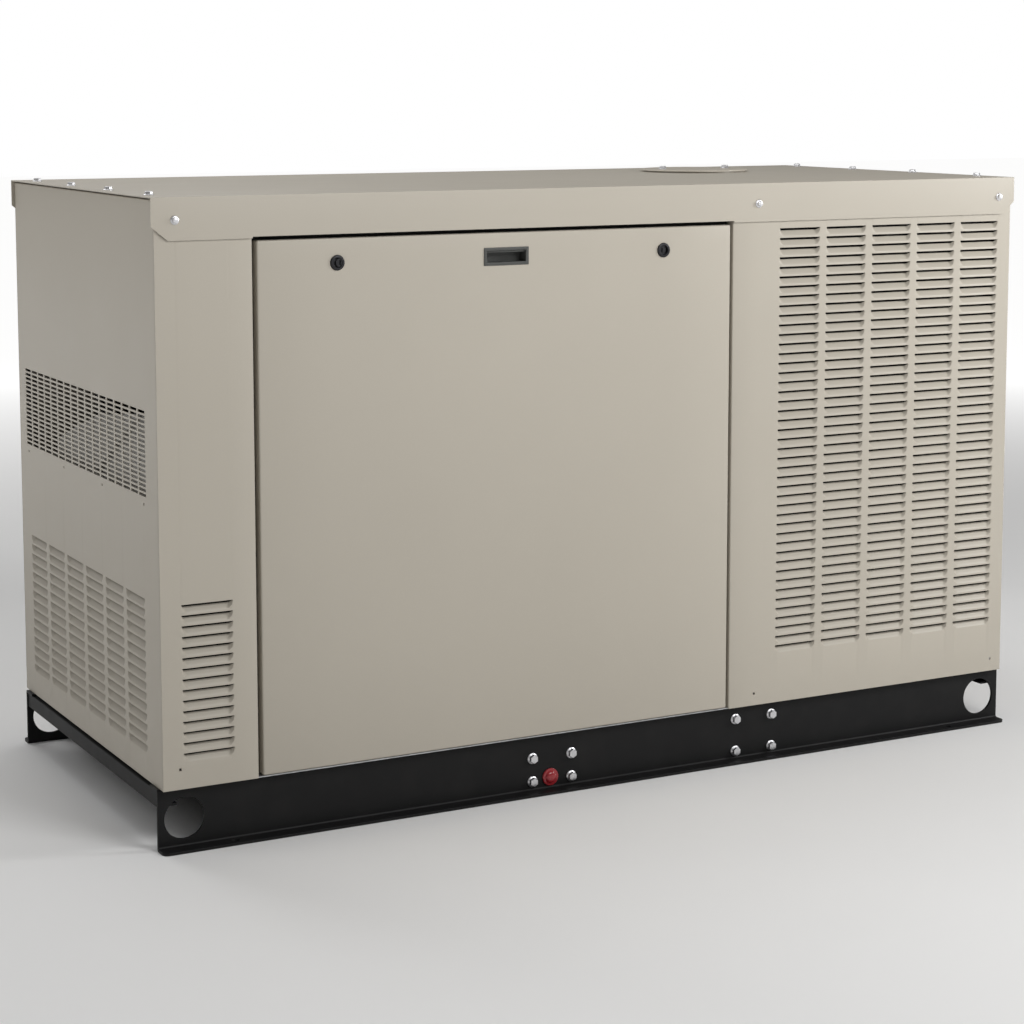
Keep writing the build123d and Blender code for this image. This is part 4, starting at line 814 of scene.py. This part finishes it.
def make_door_hardware(side_name, side):
    """The recessed pull with its frame and lip, and the two key locks."""
    body = f"{side_name}_door"
    low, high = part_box(f"{side_name}_door")
    face_y = low.y if side < 0 else high.y
    lock_z = sum(c.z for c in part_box(f"{side_name}_left_latch")) / 2
    pull_x = (low.x + high.x) / 2
    half_w, half_h, wall, deep, stand = 0.0467, 0.0167, 0.0062, 0.024, 0.0016

    def flat(x, z):
        return Vector((x, face_y + side * stand, z))

    rings = [
        (pull_x - half_w, pull_x + half_w, lock_z - half_h, lock_z + half_h),
        (pull_x - half_w + wall, pull_x + half_w - wall, lock_z - half_h + wall, lock_z + half_h - wall),
    ]
    across, up = cut_lines(rings)
    sheet = Sheet(across, up, flat)
    bm = sheet.bm
    sheet.open(rings[1])
    inner = [
        e for e in bm.edges
        if e.is_boundary and all(
            abs(v.co.x - pull_x) < half_w - wall + NEAR and abs(v.co.z - lock_z) < half_h - wall + NEAR
            for v in e.verts
        )
    ]
    outer = [e for e in bm.edges if e.is_boundary and e not in inner]
    floor = draw_out(bm, inner, (0, -side * (deep + stand), 0))
    bmesh.ops.contextual_create(bm, geom=floor)
    draw_out(bm, outer, (0, -side * (stand - 0.0001), 0))
    round_edges(bm, outer, 0.0008, 2)
    round_edges(bm, [e for e in inner if e.is_valid], 0.0016, 2)
    face_away(bm, Vector((pull_x, 0, lock_z)))
    lip_y = sorted((face_y - side * 0.002, face_y - side * 0.005))
    lip_half, lip_top = half_w - wall + 0.001, lock_z + half_h - wall
    block(
        bm, (pull_x - lip_half, lip_y[0], lip_top - 0.0032),
        (pull_x + lip_half, lip_y[1], lip_top - 0.0004), 0.0006,
    )
    node = f"{side_name}_door_fittings"
    finish_piece(f"{side_name}_door_pull", bm, body, "bezel", (node,))

    bm = bmesh.new()
    for w, k in (("left", -1), ("right", 1)):
        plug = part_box(f"{side_name}_{w}_latch")
        x = sum(c.x for c in plug) / 2 + k * 0.024
        ring = [
            (0.0082, -0.030), (0.0110, -0.030), (0.0110, -0.0005), (0.0140, -0.0005), (0.0141, 0.0008),
            (0.0132, 0.0026), (0.0112, 0.0034), (0.0094, 0.0033), (0.0082, 0.0020), (0.0082, -0.030),
        ]
        turned(bm, (x, face_y, lock_z), (0, side, 0), ring, 40)
        nut = turning((x, face_y - side * 0.0052, lock_z), (0, side, 0))
        made = bmesh.ops.create_cone(
            bm, cap_ends=True, segments=6, radius1=0.016, radius2=0.016, depth=0.006, matrix=nut
        )["verts"]
        round_edges(bm, list({e for v in made for e in v.link_edges}), 0.0006, 2)
    finish_piece(f"{side_name}_lock_bodies", bm, body, "black_zinc")


def make_gap_shading_seal(side_name, side):
    """Black foam seal on the frame round the door opening, which the gaps look on to. The gasket is real, but
    the ring is laid wide and reaches above the door as painted shade that darkens the gaps and the strip
    under the roof's skirt.
    """
    low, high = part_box(f"{side_name}_door")
    outer = (low.x - 0.0085, high.x + 0.0055, low.z + 0.001, high.z + 0.030)
    inner = (low.x + 0.022, high.x - 0.022, low.z + 0.030, high.z - 0.014)
    lip_y = abs(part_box("front_door")[0].y) - 0.028
    across, up = cut_lines((outer, inner))
    sheet = Sheet(across, up, lambda x, z: Vector((x, side * (lip_y + sizes().seal), z)))
    sheet.open(inner)
    face_away(sheet.bm, CENTRE)
    finish_piece(
        f"{side_name}_gap_shading_seal", sheet.bm, "genset", "seal", (), sizes().seal - 0.0002, 0.0012
    )


def make_door_lining(side_name, side):
    """Acoustic foam glued inside the door pan, with its quilted squares."""
    low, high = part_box(f"{side_name}_door")
    back = abs(low.y if side < 0 else high.y) - sizes().sheet
    x0, x1, z0, z1 = low.x + 0.035, high.x - 0.035, low.z + 0.05, high.z - 0.10
    count_x, count_z = 18, 16
    across = [x0 + (x1 - x0) * k / (2 * count_x) for k in range(2 * count_x + 1)]
    up = [z0 + (z1 - z0) * k / (2 * count_z) for k in range(2 * count_z + 1)]
    sheet = Sheet(across, up, lambda x, z: Vector((x, side * (back - 0.010), z)))
    for (i, j), vert in sheet.cut.items():
        if i % 2 and j % 2:
            vert.co.y -= side * 0.006
    bm = sheet.bm
    rim = [e for e in bm.edges if e.is_boundary]
    bmesh.ops.contextual_create(bm, geom=draw_out(bm, rim, (0, side * 0.0095, 0)))
    bmesh.ops.recalc_face_normals(bm, faces=bm.faces)
    finish_piece(f"{side_name}_door_lining", bm, f"{side_name}_door", "lining", soft=60.0)


def make_louvre_shade_screen(name, across_axis, face, inward, span, heights):
    """Black insect screen stretched over a steel border behind a field of louvres: a dark sheet put there as
    painted shade, so the slits read black.
    """
    low, high = (span[0], heights[0]), (span[1], heights[1])
    depth = face + inward * (sizes().sink + 0.0055)
    cells = (round((high[0] - low[0]) / 0.04), round((high[1] - low[1]) / 0.04))

    def place(u, z):
        return Vector((u, depth, z)) if across_axis == "X" else Vector((depth, u, z))

    border = 0.008
    across = [low[0] + (high[0] - low[0]) * k / cells[0] for k in range(cells[0] + 1)]
    up = [low[1] + (high[1] - low[1]) * k / cells[1] for k in range(cells[1] + 1)]
    inside = (low[0] + border, high[0] - border, low[1] + border, high[1] - border)
    sheet = Sheet(across + list(inside[:2]), up + list(inside[2:]), place)
    push = Vector((0, inward, 0)) if across_axis == "X" else Vector((inward, 0, 0))
    sheet.push(inside, push * 0.0008)
    face_away(sheet.bm, CENTRE)
    finish_piece(name, sheet.bm, "genset", "mesh", (), 0.0008)


def make_screws():
    """Flanged hex screws: eight through the rails' mounts each side, the roof's and the skirts'."""
    bm = bmesh.new()
    front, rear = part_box("front_rail")[0].y + 0.030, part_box("rear_rail")[1].y - 0.030
    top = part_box("roof")[1].z
    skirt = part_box("roof")[1].y
    rail_bolt = (0.0108, 0.0026, 0.0088, 0.0072)
    for side, y in ((-1, front), (1, rear)):
        for place in RAIL_BOLTS:
            hex_screw(bm, (place[0], y, place[1]), (0, side, 0), *rail_bolt)
        for x in (-0.897, 0.305, 0.901):
            hex_screw(bm, (x, side * skirt, top - 0.040), (0, side, 0), 0.008, 0.0016, 0.0056, 0.0042)
    for end in (-1, 1):
        for y in (-0.33, -0.11, 0.11, 0.33):
            hex_screw(bm, (end * 0.912, y, top), (0, 0, 1), 0.0095, 0.0018, 0.0072, 0.0048)
    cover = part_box("radiator_access_cover")
    middle = (cover[0] + cover[1]) / 2
    for k in (-1, 1):
        hex_screw(bm, (middle.x + k * 0.081, middle.y, cover[1].z), (0, 0, 1), 0.0095, 0.0018, 0.0072, 0.0048)
    finish_piece("flanged_screws", bm, "genset", "zinc", ("fasteners",))


RAIL_BOLTS = []


def find_rail_bolts():
    """Places of the mount bolts, read from the middle of each head in the frame."""
    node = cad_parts["fasteners"]
    face_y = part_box("front_rail")[0].y + 0.030
    heads = {}
    for vert in node.data.vertices:
        co = vert.co
        if face_y - 0.0125 < co.y < face_y - 0.0085 and co.z < 0.113:
            key = min(heads, key=lambda k: (k[0] - co.x) ** 2 + (k[1] - co.z) ** 2, default=None)
            if key is None or (key[0] - co.x) ** 2 + (key[1] - co.z) ** 2 > 0.02 ** 2:
                heads[(co.x, co.z)] = [(co.x, co.z)]
            else:
                heads[key].append((co.x, co.z))
    for points in heads.values():
        xs, zs = [p[0] for p in points], [p[1] for p in points]
        RAIL_BOLTS.append(((min(xs) + max(xs)) / 2, (min(zs) + max(zs)) / 2))


def make_round_cover():
    low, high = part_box("radiator_access_cover")
    middle = (low + high) / 2
    radius, height = (high.x - low.x) / 2, high.z - low.z
    bm = bmesh.new()
    profile = [
        (0.0, height), (radius * 0.72, height), (radius * 0.74, height), (radius - 0.0025, height),
        (radius - 0.0006, height - 0.0008), (radius, height - 0.0018), (radius, height - 0.003),
        (radius - 0.006, height - 0.003), (radius - 0.006, 0.0002), (0.0, 0.0002),
    ]
    turned(bm, (middle.x, middle.y, low.z), (0, 0, 1), profile, 96)
    finish_piece("round_access_cover", bm, "genset", "coat", ("radiator_access_cover",))


def make_drain_cap():
    low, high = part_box("drain_cap")
    middle = (low + high) / 2
    rail_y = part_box("front_rail")[0].y + 0.030
    radius = (high.x - low.x) / 2
    bm = bmesh.new()
    profile = [
        (0.0, 0.0088), (0.0052, 0.0086), (0.0090, 0.0076), (0.0112, 0.0058), (0.0118, 0.0044),
        (0.0132, 0.0040), (radius - 0.0012, 0.0038), (radius, 0.0026), (radius, 0.0006),
        (radius - 0.0008, 0.0), (0.0108, 0.0), (0.0108, -0.034), (0.0, -0.034),
    ]
    turned(bm, (middle.x, rail_y, middle.z), (0, -1, 0), profile, 48)
    finish_piece("domed_drain_cap", bm, "genset", "red", ("drain_cap",))


# ---- operators ----------------------------------------------------------------------------
class GENERATOR_OT_finishes(bpy.types.Operator):
    """Make every finish and put one on each part of the frame that stays in view"""

    bl_idname = "generator.finishes"
    bl_label = "Finishes"

    def execute(self, context):
        finishes.update(make_finishes())
        for finish, nodes in NODE_FINISH.items():
            for node in nodes:
                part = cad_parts[node]
                if not part.material_slots:
                    part.data.materials.append(finishes[finish])
                for spot in part.material_slots:
                    spot.material = finishes[finish]
        return {"FINISHED"}


class GENERATOR_OT_roof(bpy.types.Operator):
    """Fold the roof and its skirts and set the round cover on it"""

    bl_idname = "generator.roof"
    bl_label = "Roof"

    def execute(self, context):
        make_roof()
        make_round_cover()
        return {"FINISHED"}


class GENERATOR_OT_side_panels(bpy.types.Operator):
    """Press the louvres of the four side panels"""

    bl_idname = "generator.side_panels"
    bl_label = "Side panels"

    def execute(self, context):
        for name, side in SIDES:
            small = Louvres([SHORT_MIDDLE], SIDE_WIDTH, SHORT_TOP, SHORT_ROWS)
            make_side_panel(f"{name}_left_panel", side, small, 1, [small_hole(-0.902, 0.149)])
            middles = spaced(SIDE_MIDDLE, SIDE_COLUMNS, SIDE_SPACING)
            tall = Louvres(middles, SIDE_WIDTH, TALL_TOP, TALL_ROWS)
            holes = [small_hole(0.308, 0.137), small_hole(0.907, 0.139)]
            make_side_panel(f"{name}_right_panel", side, tall, -1, holes)
        return {"FINISHED"}


class GENERATOR_OT_end_panels(bpy.types.Operator):
    """Press the louvres and punch the screen of the end panels"""

    bl_idname = "generator.end_panels"
    bl_label = "End panels"

    def execute(self, context):
        for name, end in ENDS:
            make_end_panel(f"{name}_end_panel", end)
        return {"FINISHED"}


class GENERATOR_OT_louvre_shade_screens(bpy.types.Operator):
    """Stretch black insect screens behind the louvre fields, as painted shade that keeps the slits dark"""

    bl_idname = "generator.louvre_screens"
    bl_label = "Louvre screens"

    def execute(self, context):
        margin = 0.012
        short = (SHORT_TOP - SHORT_ROWS * sizes().pitch, SHORT_TOP + margin)
        tall = (TALL_TOP - TALL_ROWS * sizes().pitch, TALL_TOP + margin)
        small = SHORT_MIDDLE - SIDE_WIDTH / 2 - margin, SHORT_MIDDLE + SIDE_WIDTH / 2 + margin
        reach = SIDE_SPACING * (SIDE_COLUMNS - 1) / 2 + SIDE_WIDTH / 2 + margin
        wide = SIDE_MIDDLE - reach, SIDE_MIDDLE + reach
        face = abs(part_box("front_door")[0].y)
        for name, side in SIDES:
            make_louvre_shade_screen(f"{name}_left_screen", "X", side * face, -side, small, short)
            make_louvre_shade_screen(f"{name}_right_screen", "X", side * face, -side, wide, tall)
        reach = END_SPACING * (END_COLUMNS - 1) / 2 + END_WIDTH / 2 + margin
        span = END_MIDDLE - reach, END_MIDDLE + reach
        for name, end, heights in (("left", -1, short), ("right", 1, tall)):
            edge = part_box(f"{name}_end_panel")[0 if end < 0 else 1].x
            make_louvre_shade_screen(f"{name}_end_shade_screen", "Y", edge, -end, span, heights)
        return {"FINISHED"}


class GENERATOR_OT_doors(bpy.types.Operator):
    """Fold the two door pans and fit their foam"""

    bl_idname = "generator.doors"
    bl_label = "Doors"

    def execute(self, context):
        for name, side in SIDES:
            make_door(name, side)
            make_door_lining(name, side)
            make_gap_shading_seal(name, side)
        return {"FINISHED"}


class GENERATOR_OT_door_hardware(bpy.types.Operator):
    """Fit the pulls and key locks"""

    bl_idname = "generator.door_hardware"
    bl_label = "Door hardware"

    def execute(self, context):
        for name, side in SIDES:
            make_door_hardware(name, side)
        return {"FINISHED"}


class GENERATOR_OT_screws(bpy.types.Operator):
    """Set every flanged hex screw"""

    bl_idname = "generator.screws"
    bl_label = "Screws"

    def execute(self, context):
        find_rail_bolts()
        make_screws()
        return {"FINISHED"}


class GENERATOR_OT_drain_cap(bpy.types.Operator):
    """Turn the red drain cap"""

    bl_idname = "generator.drain_cap"
    bl_label = "Drain cap"

    def execute(self, context):
        make_drain_cap()
        return {"FINISHED"}


class GENERATOR_OT_stage(bpy.types.Operator):
    """Lay the floor and set the camera and the soft lights"""

    bl_idname = "generator.stage"
    bl_label = "Stage"

    def execute(self, context):
        scene = context.scene
        floor_mesh = bmesh.new()
        bmesh.ops.create_grid(floor_mesh, x_segments=1, y_segments=1, size=30.0)
        mesh = bpy.data.meshes.new("floor")
        floor_mesh.to_mesh(mesh)
        floor_mesh.free()
        floor = bpy.data.objects.new("floor", mesh)
        scene.collection.objects.link(floor)
        pale = Finish("pale_floor", Emission_Strength=1.0, Roughness=0.7)
        pale.feed("Base Color", pale.mix(pale.noise(1.5, 3.0), (0.86, 0.86, 0.86), (0.9, 0.9, 0.9)))
        # painted glow: the floor emits light, none near the unit and up to 0.8 far off, so the far floor
        # reads white
        across, along = pale.along("X"), pale.along("Y")
        away = (across * across + along * along) * (1.0 / 49.0)
        far_glow = pale.ramp(away, (0.08, 0.0), (0.8, 1.0))
        pale.feed("Emission Color", pale.mix(far_glow, (0.0, 0.0, 0.0), (0.8, 0.8, 0.8)))
        mesh.materials.append(pale.material)

        view = studio()
        back = Vector((
            math.sin(view.azimuth) * math.cos(view.elevation),
            -math.cos(view.azimuth) * math.cos(view.elevation),
            math.sin(view.elevation),
        ))
        lens = bpy.data.cameras.new("camera")
        lens.lens, lens.sensor_width = view.focal, 36.0
        lens.shift_x, lens.shift_y = view.shift
        camera = bpy.data.objects.new("camera", lens)
        camera.location = Vector((view.target_x, 0.0, view.target_z)) + back * view.distance
        camera.rotation_euler = (-back).to_track_quat("-Z", "Y").to_euler()
        scene.collection.objects.link(camera)
        scene.camera = camera

        lamps = (
            ("key", (2.8, -1.8, 1.7), view.key, 0.7),
            ("front", (0.5, -3.1, 2.6), view.front, 1.4),
            ("side", (-3.0, 0.2, 2.0), view.fill, 1.6),
            ("top", (-0.4, 1.0, 2.9), view.fill * 2.0, 2.0),
            ("back", (-1.5, 4.5, 3.4), view.fill * 4.0, 3.0),
        )
        for name, spot, watts, width in lamps:
            lamp = bpy.data.lights.new(name, "AREA")
            lamp.energy, lamp.size = watts, width
            lamp_object = bpy.data.objects.new(name, lamp)
            lamp_object.location = spot
            lamp_object.rotation_euler = (CENTRE - Vector(spot)).to_track_quat("-Z", "Y").to_euler()
            scene.collection.objects.link(lamp_object)
        world = bpy.data.worlds.new("studio")
        world.use_nodes = True
        nodes, links = world.node_tree.nodes, world.node_tree.links
        sky = nodes["Background"]
        sky.inputs["Color"].default_value = (1.0, 0.988, 0.965, 1.0)
        sky.inputs["Strength"].default_value = view.sky
        behind = nodes.new("ShaderNodeBackground")
        behind.inputs["Color"].default_value = (view.backdrop,) * 3 + (1.0,)
        seen = nodes.new("ShaderNodeLightPath")
        choice = nodes.new("ShaderNodeMixShader")
        links.new(seen.outputs["Is Camera Ray"], choice.inputs[0])
        links.new(sky.outputs[0], choice.inputs[1])
        links.new(behind.outputs[0], choice.inputs[2])
        links.new(choice.outputs[0], nodes["World Output"].inputs["Surface"])
        scene.world = world
        scene.view_settings.view_transform = "Standard"
        return {"FINISHED"}


OPERATORS = (
    GENERATOR_OT_finishes,
    GENERATOR_OT_roof,
    GENERATOR_OT_side_panels,
    GENERATOR_OT_end_panels,
    GENERATOR_OT_louvre_shade_screens,
    GENERATOR_OT_doors,
    GENERATOR_OT_door_hardware,
    GENERATOR_OT_screws,
    GENERATOR_OT_drain_cap,
    GENERATOR_OT_stage,
)


class GENERATOR_PT_panel(bpy.types.Panel):
    """The generator's operators and sizes"""

    bl_idname = "GENERATOR_PT_panel"
    bl_label = "Standby generator"
    bl_space_type = "VIEW_3D"
    bl_region_type = "UI"
    bl_category = "Generator"

    def draw(self, context):
        for operator in OPERATORS:
            self.layout.operator(operator.bl_idname)
        for group in ("generator_sizes", "generator_colours", "generator_studio"):
            settings = getattr(context.scene, group)
            for name in settings.__annotations__:
                self.layout.prop(settings, name)


GROUPS = (
    ("generator_sizes", EnclosureSizes),
    ("generator_colours", FinishColours),
    ("generator_studio", StudioSettings),
)


def register():
    for name, group in GROUPS:
        bpy.utils.register_class(group)
        setattr(bpy.types.Scene, name, bpy.props.PointerProperty(type=group))
    for operator in OPERATORS:
        bpy.utils.register_class(operator)
    bpy.utils.register_class(GENERATOR_PT_panel)


def unregister():
    bpy.utils.unregister_class(GENERATOR_PT_panel)
    for operator in reversed(OPERATORS):
        bpy.utils.unregister_class(operator)
    for name, group in reversed(GROUPS):
        delattr(bpy.types.Scene, name)
        bpy.utils.unregister_class(group)


def main():
    """Build everything in order."""
    register()
    for operator in OPERATORS:
        group, name = operator.bl_idname.split(".")
        getattr(getattr(bpy.ops, group), name)()


if __name__ == "__main__":
    main()
